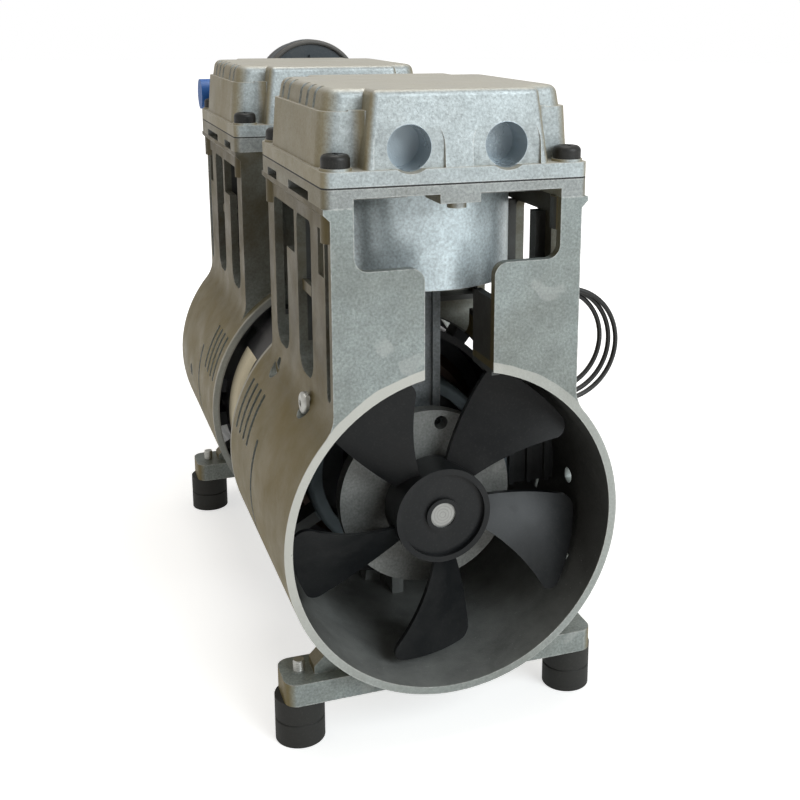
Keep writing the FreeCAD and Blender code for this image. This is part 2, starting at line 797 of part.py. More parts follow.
def valve_plate():
    """The cast plate between tower and head, relieved underneath and at both sides."""
    below = f"deck_height - {OVERCUT}"
    relief = f"{PLATE_TOP} - plate_bridge"
    tools = [rod(f"{SLEEVE_OUTER} + seat_clearance", f"sleeve_seat + {OVERCUT}", ("0", f"-{TOWER_MID}", below))]
    for low, high in (("-window_half_width", "-lug_half_width"), ("lug_half_width", "window_half_width")):
        tools.append(box((low, f"-half_length - {OVERCUT}", below), (high, f"-{TOWER_MID} - bore_radius", relief)))
    for start, length in (("front_notch_start", "front_notch_length"), ("rear_notch_start", "rear_notch_length")):
        front = f"{start} - half_length"
        tools.append(box((f"-band_half_width - {OVERCUT}", front, below),
                         ("notch_depth - band_half_width", f"{front} + {length}", relief)))
        tools.append(box(("band_half_width - notch_depth", front, below),
                         (f"band_half_width + {OVERCUT}", f"{front} + {length}", relief)))
    pin = rod("lug_pin_radius", "lug_pin_drop * 2", ("0", "tower_wall * 1.2 - half_length",
                                                     "deck_height - lug_pin_drop"))
    plate = fuse(cut(footprint("deck_height", PLATE_TOP), *tools), pin)
    return cut(plate, *valve_holes(below, f"{PLATE_TOP} + {OVERCUT}"),
               *upright_holes("head_screw_radius", below, f"{PLATE_TOP} + {OVERCUT}"))


def chamber_box(sign, foot, top, margin="0"):
    """One gas chamber of the head: intake on +X, outlet on -X."""
    near_side = f"{sign} * (chamber_divider / 2 - ({margin}))"
    far_side = f"{sign} * (head_step_half_width - chamber_wall + ({margin}))"
    left, right = (near_side, far_side) if sign > 0 else (far_side, near_side)
    front = f"-{PORT_FACE} + port_depth + chamber_wall / 2 - ({margin})"
    back = f"-({TOWER_BACK}) - seat_depth - chamber_wall + ({margin})"
    return box((left, front, foot), (right, back, top))


def tapered(foot_half, top_half, front_foot, front_top, back_foot, back_top, foot, top):
    """A drafted block, lofted between two upright rectangles."""
    wires = []
    for half, front, back, height in ((foot_half, front_foot, back_foot, foot), (top_half, front_top, back_top, top)):
        corners = [(-half, front), (half, front), (half, back), (-half, back)]
        points = [FreeCAD.Vector(x, y, height) for x, y in corners]
        wires.append(Part.makePolygon(points + points[:1]))
    loft = doc.addObject("Part::Feature", "Draft")
    loft.Shape = Part.makeLoft(wires, True, True)
    return loft


def steep(edge):
    """True for an edge that climbs."""
    ends = [vertex.Point for vertex in edge.Vertexes]
    return len(ends) == 2 and abs(ends[0].z - ends[1].z) > 0.6 * edge.Length


def level_at(height):
    """A test for edges that lie at one height."""
    return lambda edge: near(edge.BoundBox.ZMin, height) and near(edge.BoundBox.ZMax, height)


def side_grooves(start):
    """The narrow grooves up both sides of a head's crown, between its rounded lobes."""
    places = [size.groove_first + number * size.groove_pitch for number in range(3)]
    places += [places[-1] + size.groove_gap + number * size.groove_pitch for number in range(2)]
    grooves = []
    for place in places:
        for sign in (-1, 1):
            spot = (str(sign * start), f"{place} - half_length", f"{HEAD_FOOT} + head_step")
            turn = FreeCAD.Rotation(FreeCAD.Vector(0, 1, 0), -sign * size.groove_lean)
            grooves.append(rod("groove_radius", "head_height", spot, turn))
    return grooves


def shoulder_flutes():
    """The hollow corners between a head's posts and its end panels, each under a small ledge."""
    corners = []
    for end, way in (("-half_length", "1"), (f"-({TOWER_BACK})", "-1")):
        for sign in ("1", "-1"):
            across = [f"{sign} * panel_top_half_width", f"{sign} * flute_centre"][::int(sign)]
            along = [f"{end} + {way} * flute_inset", f"{end} + {way} * (seat_depth + {OVERCUT})"][::int(way)]
            block = box((across[0], along[0], f"{HEAD_FOOT} + head_flange / 2"),
                        (across[1], along[1], f"{HEAD_FOOT} + flute_height"))
            corners.append(cut(block, rod("flute_radius", "head_height", (f"{sign} * flute_centre",
                                                                          f"{end} + {way} * flute_inset",
                                                                          f"{HEAD_FOOT} + head_flange"))))
    return corners


def head_casting(drilled):
    """A cylinder head: flange, drafted box with fluted shoulders, and a raised panel at each end."""
    foot, step, top = head_foot, head_foot + size.head_step, head_foot + size.head_height
    front, back = -size.half_length, -(size.half_length - size.tower_depth)
    ledge, inset = size.seat_depth, size.head_top_inset
    flange = footprint(HEAD_FOOT, f"{HEAD_FOOT} + head_flange")
    lower = tapered(size.head_foot_half_width, size.head_step_half_width, front + ledge, front + ledge,
                    back - ledge, back - ledge, foot, step)
    lower = rounded(lower, size.head_corner, steep)
    start = size.head_step_half_width - size.head_shelf
    upper = tapered(start, size.head_top_half_width, front + ledge + size.head_shelf, front + inset,
                    back - ledge - size.head_shelf, back - inset, step - OVERCUT, top)
    upper = rounded(upper, size.head_corner, steep)
    upper = rounded(upper, size.head_edge, level_at(top))
    upper = cut(upper, *side_grooves(start))
    panels = []
    for end, way in ((front, 1), (back, -1)):
        outer_foot, outer_top = end + way * size.panel_foot_inset, end + way * size.panel_top_inset
        inner_end = end + way * 2 * inset
        ends = sorted(((outer_foot, outer_top), (inner_end, inner_end)))
        panel = tapered(size.panel_foot_half_width, size.panel_top_half_width, ends[0][0], ends[0][1], ends[1][0],
                        ends[1][1], foot, top)
        panels.append(rounded(panel, size.panel_edge, lambda edge, outer=outer_foot: (
            edge.BoundBox.ZMax > foot + 1 and abs(middle(edge).y - outer) < size.panel_top_inset + 1)
            or (near(edge.BoundBox.ZMin, top) and runs_along(edge, "y"))))
    lands = [rod("screw_boss_radius", "head_flange + seat_land", (str(x), str(y), HEAD_FOOT))
             for x, y in corner_spots()]
    solid = fuse(flange, lower, upper, *panels, *lands, *shoulder_flutes())
    tools = [chamber_box(sign, f"{HEAD_FOOT} - {OVERCUT}", f"{HEAD_FOOT} + chamber_height") for sign in (-1, 1)]
    for sign in (-1, 1):
        centre = f"{sign} * port_half_spacing"
        middle_height = f"{HEAD_FOOT} + port_height"
        tools.append(rod("port_radius", "port_depth", (centre, f"port_depth - {PORT_FACE}", middle_height), FORWARD))
        tools.append(flared("port_radius", "port_radius + port_lead", f"spot_inset + {OVERCUT}",
                            (centre, f"-{PORT_FACE}", middle_height), FORWARD))
        spot = rod("spot_radius", f"spot_inset + {OVERCUT}", (centre, f"-{PORT_FACE}", middle_height), FORWARD)
        tools.append(common(spot, box((f"{centre} - spot_radius", f"-half_length - {OVERCUT}",
                                       f"{HEAD_FOOT} + head_flange"),
                                      (f"{centre} + spot_radius", f"-{PORT_FACE}", f"{HEAD_FOOT} + head_height"))))
        tools.append(box((f"{centre} - spot_radius", f"-half_length - {OVERCUT}", f"{HEAD_FOOT} + head_flange"),
                         (f"{centre} + spot_radius", f"-{PORT_FACE}", middle_height)))
        if drilled:
            tools.append(rod("passage_radius", "port_depth * 2", (centre, f"port_depth * 2 - {PORT_FACE}",
                                                                  middle_height), FORWARD))
    tools += upright_holes("head_screw_radius", f"{HEAD_FOOT} - {OVERCUT}", f"{HEAD_FOOT} + head_flange * 3")
    return cut(solid, *tools)


def head_gasket():
    """The black gasket under the head, open at both chambers."""
    sheet_top = f"{HEAD_FOOT}"
    tools = [chamber_box(sign, f"{PLATE_TOP} - {OVERCUT}", f"{sheet_top} + {OVERCUT}") for sign in (-1, 1)]
    return cut(footprint(PLATE_TOP, sheet_top), *tools,
               *upright_holes("head_screw_radius", f"{PLATE_TOP} - {OVERCUT}", f"{sheet_top} + {OVERCUT}"))


# Small turned and pressed pieces

def screw_shape(radius, length, head_radius, head_height, recess):
    """A round-headed screw with its head's underside at the origin, pointing down, with a cross recess."""
    shank = Part.makeCylinder(radius, length, FreeCAD.Vector(0, 0, -length))
    head = Part.makeCylinder(head_radius, head_height)
    rim = [edge for edge in head.Edges if near(middle(edge).z, head_height) and near(edge.BoundBox.ZLength, 0)]
    head = head.makeFillet(head_height * 0.4, rim)
    slots = []
    for turn in (0, 90):
        slot = Part.makeBox(head_radius, recess, head_height, FreeCAD.Vector(-head_radius / 2, -recess / 2,
                                                                              head_height * 0.5))
        slot.rotate(FreeCAD.Vector(), FreeCAD.Vector(0, 0, 1), turn)
        slots.append(slot)
    return shank.fuse(head).cut(slots[0].fuse(slots[1])).removeSplitter()


def hexagon(flats, height, base):
    """A hexagonal block about Z, by its width across flats."""
    corners = [FreeCAD.Vector(base.x + flats / math.sqrt(3) * math.cos(math.radians(60 * i)),
                              base.y + flats / math.sqrt(3) * math.sin(math.radians(60 * i)), base.z) for i in range(7)]
    return Part.Face(Part.makePolygon(corners)).extrude(FreeCAD.Vector(0, 0, height))


def make_bottom_end():
    """Rubber feet with their studs and nuts."""
    spots = [(x * size.foot_half_spacing, y * (size.half_length - size.foot_inset), 0)
             for x in (-1, 1) for y in (-1, 1)]
    names = ("front_left", "rear_left", "front_right", "rear_right")
    waist = "(foot_radius - foot_waist)"
    half = "foot_height / 2"
    corners = [("foot_hole_radius", "0"), ("foot_radius", "0"), ("foot_radius", f"{half} - foot_waist"),
               (waist, half), ("foot_radius", f"{half} + foot_waist"), ("foot_radius", "foot_height"),
               ("0", "foot_height"), ("0", "foot_hole_depth"), ("foot_hole_radius", "foot_hole_depth")]
    for name, (x, y, _) in zip(names, spots):
        sign_x, sign_y = ("-" if x < 0 else ""), ("-" if y < 0 else "")
        lathe(f"{name}_foot", corners, (f"{sign_x}foot_half_spacing", f"{sign_y}(half_length - foot_inset)", "0"))
    stud = Part.makeCylinder(size.stud_radius, size.stud_length, FreeCAD.Vector(0, 0, size.foot_height))
    keep_shape(at_spots(stud, spots), "foot_studs")


def head_screws(label, placement=FreeCAD.Placement()):
    """The black pan-head screws of one head."""
    screw = screw_shape(size.head_screw_radius, size.head_screw_length, size.head_screw_head,
                        size.head_screw_head_height, size.hex_key / 2)
    seat = head_foot + size.head_flange + size.seat_land
    return keep_shape(at_spots(screw, [(x, y, seat) for x, y in corner_spots()]), label, placement)


def side_screws():
    """The plated button-head screws in the flank pockets, one on each casting."""
    head = Part.makeCylinder(size.side_screw_head, size.side_screw_head_height)
    rim = [edge for edge in head.Edges if near(middle(edge).z, size.side_screw_head_height)
           and near(edge.BoundBox.ZLength, 0)]
    head = head.makeFillet(size.side_screw_head_height * 0.6, rim)
    shank = Part.makeCylinder(size.side_screw_radius, size.side_screw_length,
                              FreeCAD.Vector(0, 0, -size.side_screw_length))
    key = hexagon(size.hex_key, size.side_screw_head_height, FreeCAD.Vector(0, 0, size.side_screw_head_height / 2))
    screw = head.fuse(shank).cut(key).removeSplitter()
    screw.rotate(FreeCAD.Vector(), FreeCAD.Vector(0, 1, 0), -90)
    screw.translate(FreeCAD.Vector(-pocket_floor, -size.pocket_front, size.pocket_height))
    other = screw.copy()
    other.rotate(FreeCAD.Vector(), FreeCAD.Vector(0, 0, 1), 180)
    return keep_shape(Part.makeCompound([screw, other]), "side_screws")


def make_cylinder_parts(name, placement):
    """Sleeve, seal, plate, gasket and reed valves of one cylinder, given on the front half."""
    sleeve_spot = ("0", f"-{TOWER_MID}", "0")
    made = {
        "cylinder_sleeve": lathe("front_cylinder_sleeve",
                                 ring_corners("bore_radius", SLEEVE_OUTER, "sleeve_foot", SLEEVE_TOP), sleeve_spot),
        "valve_plate": keep(valve_plate(), "front_valve_plate"),
        "head_gasket": keep(head_gasket(), "front_head_gasket"),
    }
    reed_low = f"{SLEEVE_TOP} - reed_thickness"
    left, right = "valve_hole_offset - reed_width / 2", "valve_hole_offset + reed_width / 2"
    front, back = f"-{TOWER_MID} - reed_length / 2", f"-{TOWER_MID} + reed_length / 2"
    made["intake_reed"] = keep(box((left, front, reed_low), (right, back, SLEEVE_TOP)), "front_intake_reed")
    made["outlet_reed"] = keep(box((f"-({right})", front, PLATE_TOP), (f"-({left})", back,
                                                                      f"{PLATE_TOP} + reed_thickness")),
                               "front_outlet_reed")
    made["outlet_stop"] = keep(box((f"-({right})", front, f"{PLATE_TOP} + reed_thickness"),
                                   (f"-({left})", back, f"{PLATE_TOP} + reed_thickness + stop_thickness")),
                               "front_outlet_stop")
    for label, piece in made.items():
        twin(piece, f"rear_{label}", placement)
    keep(head_casting(False), "front_head")
    twin(head_casting(True), "rear_head", placement)


# Shaft, motor and bearings

def make_motor():
    """Shaft, rotor, stator, windings and shell."""
    corners = []
    steps = (("shaft_half_length", "fan_seat_radius"), ("balance_face", "crank_seat_radius"),
             ("bulkhead_face + bearing_shoulder + main_bearing_width", "bearing_seat_radius"),
             ("bulkhead_face + bearing_shoulder", "rotor_seat_radius"))
    previous = None
    for place, radius in steps:
        corners.append((f"-({place})", previous or "0"))
        corners.append((f"-({place})", radius))
        previous = radius
    mirrored = [(along[1:], radius) for along, radius in reversed(corners)]
    on_shaft("motor_shaft", corners + mirrored)
    on_shaft("rotor", pipe_corners("rotor_seat_radius", "rotor_radius", "-rotor_half_length", "rotor_half_length"))
    on_shaft("stator_core", pipe_corners("rotor_radius + air_gap", "stator_radius", "-stator_half_length",
                                         "stator_half_length"))
    on_shaft("motor_shell", pipe_corners("stator_radius", SHELL, "-shell_half_length", "shell_half_length"))
    far = "stator_half_length + winding_length"
    for name, sign in (("front", "-"), ("rear", "")):
        corners = [(f"{sign}stator_half_length", "winding_inner"), (f"{sign}stator_half_length", "winding_outer"),
                   (f"{sign}({far} - winding_round)", "winding_outer"), (f"{sign}({far})", "winding_outer - winding_round"),
                   (f"{sign}({far})", "winding_inner + winding_round"),
                   (f"{sign}({far} - winding_round)", "winding_inner")]
        on_shaft(f"{name}_windings", corners)
        start = f"{sign}(bulkhead_face + bearing_shoulder)"
        end = f"{sign}(bulkhead_face + bearing_shoulder + main_bearing_width)"
        on_shaft(f"{name}_bearing_inner", pipe_corners("bearing_seat_radius", "bearing_seat_radius + race_wall", start,
                                                       end))
        on_shaft(f"{name}_bearing_outer", pipe_corners("bearing_seat_radius + race_wall + race_gap",
                                                       "main_bearing_radius", start, end))


# Crank, rod and piston

def crank_weight():
    """The eccentric with its balance disc, clamped on the shaft with its high side up."""
    axis = ("0", "-balance_face + balance_thickness", "shaft_height")
    disc = rod("balance_radius", "balance_thickness", axis, FORWARD)
    high_side = ("0", f"-{TOWER_MID} + rod_bearing_width / 2", "shaft_height + crank_throw")
    hub = rod("eccentric_radius", f"balance_face - balance_thickness - {TOWER_MID} + rod_bearing_width / 2", high_side,
              FORWARD)
    raised = box(("-balance_radius", "-balance_face - balance_step", "shaft_height - balance_radius"),
                 ("balance_radius", "-balance_face", "shaft_height - eccentric_radius"))
    weight = common(raised, rod("balance_radius", "balance_step * 2 + balance_thickness", axis, FORWARD))
    bore = rod("crank_seat_radius", "half_length", ("0", "-bulkhead_face", "shaft_height"), FORWARD)
    hole = rod("balance_hole_radius", "balance_thickness * 3",
               ("balance_hole_side", "-balance_face + balance_thickness * 2", "shaft_height + balance_hole_place"),
               FORWARD)
    clear = rod("eccentric_radius + race_wall + piston_clearance", "balance_thickness",
                ("0", "-balance_face + balance_thickness * 2", "shaft_height + crank_throw"), FORWARD)
    return cut(fuse(disc, hub, weight), bore, cut(hole, clear))


def piston_rod():
    """The one-piece rod and piston: eye, ribbed shank and the disc that carries the cup."""
    width = "rod_bearing_width"
    eye_foot = ("0", f"-{TOWER_MID} + {width} / 2", "shaft_height + crank_throw")
    eye = rod("rod_eye_radius", width, eye_foot, FORWARD)
    disc_top = "(deck_height + sleeve_seat - top_clearance - retainer_thickness - cup_thickness)"
    shank = box(("-rod_half_width", f"-{TOWER_MID} - rod_thickness / 2", "shaft_height + crank_throw"),
                ("rod_half_width", f"-{TOWER_MID} + rod_thickness / 2", f"{disc_top} - piston_thickness / 2"))
    pockets = []
    foot, top = "shaft_height + crank_throw + rod_eye_radius + rod_flange", f"{disc_top} - piston_thickness - rod_flange"
    for low, high in (("- rod_thickness / 2 - 1", "- rod_thickness / 2 + rod_pocket"),
                      ("+ rod_thickness / 2 - rod_pocket", "+ rod_thickness / 2 + 1")):
        pocket = box(("rod_flange - rod_half_width", f"-{TOWER_MID} {low}", foot),
                     ("rod_half_width - rod_flange", f"-{TOWER_MID} {high}", top))
        pockets.append(rounded(pocket, size.rod_flange, lambda edge: runs_along(edge, "y")))
    disc = rod("bore_radius - crank_throw - piston_clearance - cup_thickness", "piston_thickness",
               ("0", f"-{TOWER_MID}", f"{disc_top} - piston_thickness"))
    eye_bore = rod("rod_bearing_radius", f"{width} * 2", ("0", f"-{TOWER_MID} + {width}", "shaft_height + crank_throw"),
                   FORWARD)
    tap = rod("piston_screw_radius", "piston_screw_length", ("0", f"-{TOWER_MID}", f"{disc_top} - piston_screw_length"))
    return cut(fuse(cut(shank, *pockets), eye, disc), eye_bore, tap)


def make_running_gear():
    """Both cranks, rods, bearings, cups and retainers; the rear set stands half a turn on."""
    piston_top = "(deck_height + sleeve_seat - top_clearance - retainer_thickness)"
    on_axis = ("0", f"-{TOWER_MID}", "0")
    outer = "(bore_radius - crank_throw - piston_clearance)"
    disc_top = f"({piston_top} - cup_thickness)"
    crank = keep(crank_weight(), "front_crank")
    rod_piece = keep(piston_rod(), "front_rod")
    cup = lathe("front_piston_cup", [("piston_screw_radius", disc_top), (f"{outer} - cup_thickness", disc_top),
                                     (f"{outer} - cup_thickness", f"{disc_top} - cup_skirt"),
                                     (outer, f"{disc_top} - cup_skirt"), (outer, piston_top),
                                     ("piston_screw_radius", piston_top)], on_axis)
    retainer = lathe("front_cup_retainer", ring_corners("piston_screw_radius", f"{outer} - retainer_inset", piston_top,
                                                        f"{piston_top} + retainer_thickness * 0.6"), on_axis)
    head_low = f"({piston_top} + retainer_thickness * 0.6)"
    head_high = f"({piston_top} + retainer_thickness)"
    screw = lathe("front_piston_screw", [("0", f"{disc_top} - piston_screw_length"),
                                         ("piston_screw_radius", f"{disc_top} - piston_screw_length"),
                                         ("piston_screw_radius", head_low), ("piston_screw_head", head_low),
                                         ("piston_screw_head", head_high), ("0", head_high)], on_axis)
    start = f"-{TOWER_MID} - rod_bearing_width / 2"
    end = f"-{TOWER_MID} + rod_bearing_width / 2"
    inner_race = on_shaft("front_rod_bearing_inner", pipe_corners("eccentric_radius", "eccentric_radius + race_wall - 1.2",
                                                                  start, end), "-crank_throw")
    outer_race = on_shaft("front_rod_bearing_outer", pipe_corners("eccentric_radius + race_wall - 1.2 + race_gap",
                                                                  "rod_bearing_radius", start, end), "-crank_throw")
    low = FreeCAD.Placement(FreeCAD.Vector(0, 0, -2 * size.crank_throw), HALF_TURN)
    for piece, label in ((rod_piece, "rear_rod"), (cup, "rear_piston_cup"), (retainer, "rear_cup_retainer"),
                         (screw, "rear_piston_screw"), (inner_race, "rear_rod_bearing_inner"),
                         (outer_race, "rear_rod_bearing_outer")):
        twin(piece, label, low)
    over = FreeCAD.Rotation(FreeCAD.Vector(1, 0, 0), 180)
    twin(crank, "rear_crank", FreeCAD.Placement(FreeCAD.Vector(0, 0, 2 * size.shaft_height), over))


# Fan

def blade(angle):
    """One paddle: a twisted slab trimmed to its planform, swept back towards the tip."""
    root, tip = size.hub_radius - size.hub_lip, size.blade_tip_radius
    sections = []
    stations = 5
    for number in range(stations):
        share = number / (stations - 1)
        radius = root + share * (tip + 2 - root)
        slope = size.blade_root_slope + share * (size.blade_tip_slope - size.blade_root_slope)
        place = -(size.blade_root_place + share * (size.blade_tip_place - size.blade_root_place))
        sweep = math.radians(size.blade_sweep * (1 - share))
        half = size.hub_radius * 0.55 + share * size.hub_radius
        mid = FreeCAD.Vector(radius, place, radius * math.tan(sweep))
        along = FreeCAD.Vector(0, slope, 1).normalize()
        normal = FreeCAD.Vector(0, 1, -slope).normalize() * (size.blade_thickness / 2)
        corners = [mid + along * half + normal, mid - along * half + normal, mid - along * half - normal,
                   mid + along * half - normal]
        sections.append(Part.makePolygon(corners + corners[:1]))
    slab = Part.makeLoft(sections, True, False)

    def spot(radius, degrees):
        turn = math.radians(degrees)
        return FreeCAD.Vector(radius * math.cos(turn), 0, radius * math.sin(turn))

    edges = []
    for side in (1, -1):
        points = []
        for share in (0.0, 0.35, 0.7, 1.0):
            radius = root + share * (tip - root)
            half = size.blade_root_angle + share * (size.blade_half_angle - size.blade_root_angle)
            points.append(spot(radius, size.blade_sweep * (1 - share) + side * half))
        curve = Part.BSplineCurve()
        curve.interpolate(points)
        edges.append(curve.toShape())
    tip_arc = Part.Arc(spot(tip, size.blade_half_angle), spot(tip, 0), spot(tip, -size.blade_half_angle)).toShape()
    root_line = Part.LineSegment(spot(root, size.blade_sweep + size.blade_root_angle),
                                 spot(root, size.blade_sweep - size.blade_root_angle)).toShape()
    face = Part.Face(Part.Wire(Part.__sortEdges__([edges[0], tip_arc, edges[1], root_line])))
    prism = face.extrude(FreeCAD.Vector(0, -size.half_length, 0))
    corners = [edge for edge in prism.Edges if edge.BoundBox.YLength > 1
               and math.hypot(middle(edge).x, middle(edge).z) > tip - 1]
    prism = prism.makeFillet(size.blade_corner, corners)
    paddle = slab.common(prism)
    paddle.rotate(FreeCAD.Vector(), FreeCAD.Vector(0, 1, 0), -angle)
    return paddle


def fan():
    """Hub with a raised lip, a boss and the paddles, made in one piece about the Y axis."""
    def tube(outer, inner, front, back):
        ring = Part.makeCylinder(outer, front - back, FreeCAD.Vector(0, -back, 0), FreeCAD.Vector(0, -1, 0))
        if inner:
            ring = ring.cut(Part.makeCylinder(inner, front - back, FreeCAD.Vector(0, -back, 0), FreeCAD.Vector(0, -1, 0)))
        return ring

    web = size.hub_face - size.hub_recess
    solid = tube(size.hub_radius, size.hub_radius - size.hub_lip, size.hub_face, size.hub_back)
    solid = solid.fuse(tube(size.hub_radius - size.hub_lip / 2, 0, web, web - 2 * size.hub_recess))
    solid = solid.fuse(tube(size.hub_boss_radius, 0, size.hub_face - size.hub_recess / 4, size.hub_back))
    for number in range(int(size.blade_count)):
        solid = solid.fuse(blade(size.blade_first + number * FULL_TURN / size.blade_count))
    inside = tube(size.hub_radius - size.hub_lip, size.hub_boss_radius, web - 2 * size.hub_recess, size.hub_back)
    seat = tube(size.fan_seat_radius, 0, size.half_length, size.hub_back - 1)
    solid = solid.cut(inside).cut(seat).removeSplitter()
    solid.translate(FreeCAD.Vector(0, 0, size.shaft_height))
    return solid


# Intake filter and outlet cap on the rear head

def make_port_parts():
    """The filter on its nipple, and the elbow with its cap, all on the rear head's ports."""
    height = f"{HEAD_FOOT} + port_height"
    filter_x, elbow_x = "port_half_spacing", "-port_half_spacing"
    seat = f"{PORT_FACE} - port_depth + chamber_wall / 2"
    nipple = cut(rod("port_radius", f"filter_face + filter_base - ({seat})", (filter_x, f"filter_face + filter_base",
                                                                              height), FORWARD),
                 rod("nipple_bore", "half_length", (filter_x, "half_length * 1.5", height), FORWARD))
    keep(nipple, "filter_nipple")
    base = rod("filter_radius", "filter_base", (filter_x, "filter_face + filter_base", height), FORWARD)
    base = rounded(base, size.filter_lip, lambda edge: near(middle(edge).y, size.filter_face)
                   and near(edge.BoundBox.YLength, 0))
    rib = box((f"{filter_x} - filter_rib / 2", "filter_face - filter_rib", f"{height} - filter_radius * 0.7"),
              (f"{filter_x} + filter_rib / 2", "filter_face + filter_rib", f"{height} + filter_radius * 0.7"))
    eye = rod("port_radius", "half_length", (filter_x, "half_length * 1.5", height), FORWARD)
    keep(cut(fuse(base, rib), eye), "filter_base")
    far = "filter_face + filter_length"
    cover = rod("filter_radius - filter_lip", "filter_length - filter_base", (filter_x, far, height), FORWARD)
    cover = rounded(cover, size.filter_lip * 2, lambda edge: near(middle(edge).y, size.filter_face + size.filter_length)
                    and near(edge.BoundBox.YLength, 0))
    keep(cover, "filter_cover")
    reach = "half_length + elbow_reach"
    stem = rod("port_radius", f"{reach} - ({seat})", (elbow_x, reach, height), FORWARD)
    arm_place = f"{reach} - port_radius - elbow_wall"
    arm = rod("elbow_radius", "elbow_arm + elbow_radius", (elbow_x, arm_place, height), RIGHT.inverted())
    bore = rod("nipple_bore", "elbow_reach * 2", (elbow_x, arm_place, height), FORWARD)
    keep(cut(fuse(stem, arm), bore), "outlet_elbow")
    cap_foot = f"{elbow_x} - elbow_arm - elbow_radius + cap_lap"
    cap = cut(rod("cap_radius", "cap_length", (cap_foot, arm_place, height), RIGHT.inverted()),
              rod("elbow_radius", "cap_lap", (cap_foot, arm_place, height), RIGHT.inverted()))
    keep(cap, "outlet_cap")


# Motor leads

def make_leads():
    """The grommet on the motor's shell, the lead bundle out of it, its coil and the plug behind."""
    turn = math.radians(size.grommet_angle)
    out = FreeCAD.Vector(math.cos(turn), 0, math.sin(turn))
    axis = FreeCAD.Vector(0, -size.lead_place, size.shaft_height)
    grommet = Part.makeCylinder(size.grommet_radius, size.grommet_height + size.shell_wall,
                                axis + out * (shell_radius - size.shell_wall), out)
    shell = Part.makeCylinder(shell_radius, 2 * size.barrel_gap_half,
                              FreeCAD.Vector(0, -size.barrel_gap_half, size.shaft_height), FreeCAD.Vector(0, 1, 0))
    keep_shape(grommet.cut(shell), "lead_grommet")
    start = axis + out * (shell_radius + size.grommet_height)
    end = start + out * size.lead_run
    print("lead tube: one straight run of", round(size.lead_run, 1), "mm, no bends")
    centre = end + out * size.coil_outer
    half = size.coil_thickness / 2
    solid = Part.makeCylinder(size.coil_outer, size.coil_thickness, centre + FreeCAD.Vector(0, -half, 0),
                              FreeCAD.Vector(0, 1, 0))
    hole = Part.makeCylinder(size.coil_inner, size.coil_thickness, centre + FreeCAD.Vector(0, -half, 0),
                             FreeCAD.Vector(0, 1, 0))
    coil = solid.cut(hole)
    rims = [edge for edge in coil.Edges if near(edge.BoundBox.YLength, 0)]
    coil = coil.makeFillet(half * 0.7, rims)
    keep_shape(coil, "lead_coil")
    tube = Part.makeCylinder(size.lead_radius, size.lead_run + half, start, out).cut(coil)
    keep_shape(tube, "lead_tube")
    tail_turn = math.radians(size.tail_angle)
    middle_radius = (size.coil_outer + size.coil_inner) / 2
    tail_foot = centre + FreeCAD.Vector(math.cos(tail_turn), 0, math.sin(tail_turn)) * middle_radius
    tail_foot += FreeCAD.Vector(0, half, 0)
    tail = Part.makeCylinder(size.lead_radius, size.tail_run, tail_foot, FreeCAD.Vector(0, 1, 0))
    keep_shape(tail, "lead_tail")
    plug_half = size.plug_width / 2
    plug = Part.makeBox(size.plug_width, size.plug_length, size.plug_width,
                        tail_foot + FreeCAD.Vector(-plug_half, size.tail_run, -plug_half))
    long_edges = [edge for edge in plug.Edges if runs_along(edge, "y")]
    keep_shape(plug.makeFillet(size.plug_width / 8, long_edges), "lead_plug")


# Assembly

front_casting = keep(crankcase(), "front_crankcase")
twin(front_casting, "rear_crankcase")
make_bottom_end()
make_cylinder_parts("front", REAR)
head_screws("front_head_screws")
head_screws("rear_head_screws", REAR)
side_screws()
make_motor()
make_running_gear()
front_fan = fan()
keep_shape(front_fan, "front_fan")
keep_shape(front_fan, "rear_fan", REAR)
make_port_parts()
make_leads()
doc.recompute()

# Checks before anything is written

for item in doc.Objects:
    if {"Invalid", "Error"} & set(item.State):
        raise RuntimeError(f"{item.Label} failed: {item.State}")
for label, item in nodes.items():
    if item.Shape.isNull() or not item.Shape.isValid():
        raise RuntimeError(f"{label} has no valid shape")

os.makedirs("parts", exist_ok=True)
for label, item in nodes.items():
    item.Shape.exportStep(f"parts/{label}.step")
print(len(nodes), "nodes written")
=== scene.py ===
"""Dresses the twin cylinder vacuum pump: finishes, motor lead, label, threads, studio and camera."""

import logging
import math
from dataclasses import astuple, dataclass, field
from enum import Enum
from typing import Sequence, Union

import bmesh
import bpy
from mathutils import Matrix, Vector


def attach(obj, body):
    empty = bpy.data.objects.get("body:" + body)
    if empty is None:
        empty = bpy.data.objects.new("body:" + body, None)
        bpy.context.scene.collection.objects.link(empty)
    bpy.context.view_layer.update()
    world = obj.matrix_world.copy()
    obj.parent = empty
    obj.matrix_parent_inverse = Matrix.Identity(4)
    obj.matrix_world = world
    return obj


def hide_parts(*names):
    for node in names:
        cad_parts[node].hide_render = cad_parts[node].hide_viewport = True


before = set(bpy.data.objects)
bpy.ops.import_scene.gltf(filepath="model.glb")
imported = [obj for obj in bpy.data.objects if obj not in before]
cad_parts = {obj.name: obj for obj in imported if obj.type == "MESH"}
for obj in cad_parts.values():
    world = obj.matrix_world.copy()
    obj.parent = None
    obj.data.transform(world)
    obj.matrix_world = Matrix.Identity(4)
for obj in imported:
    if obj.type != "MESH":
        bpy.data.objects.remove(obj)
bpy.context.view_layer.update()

log = logging.getLogger("vacuum_pump")

Colour = tuple[float, float, float]
Point = tuple[float, float, float]
Material = bpy.types.Material
Node = bpy.types.Node
Socket = bpy.types.NodeSocket
Tree = bpy.types.NodeTree
Value = Union[Socket, float, Colour]

MM = 0.001
SHAFT_HEIGHT = 84.2 * MM
SHELL_RADIUS = 57.0 * MM
PORT_HEIGHT = 226.0 * MM
PHOTO_SIDE = 800

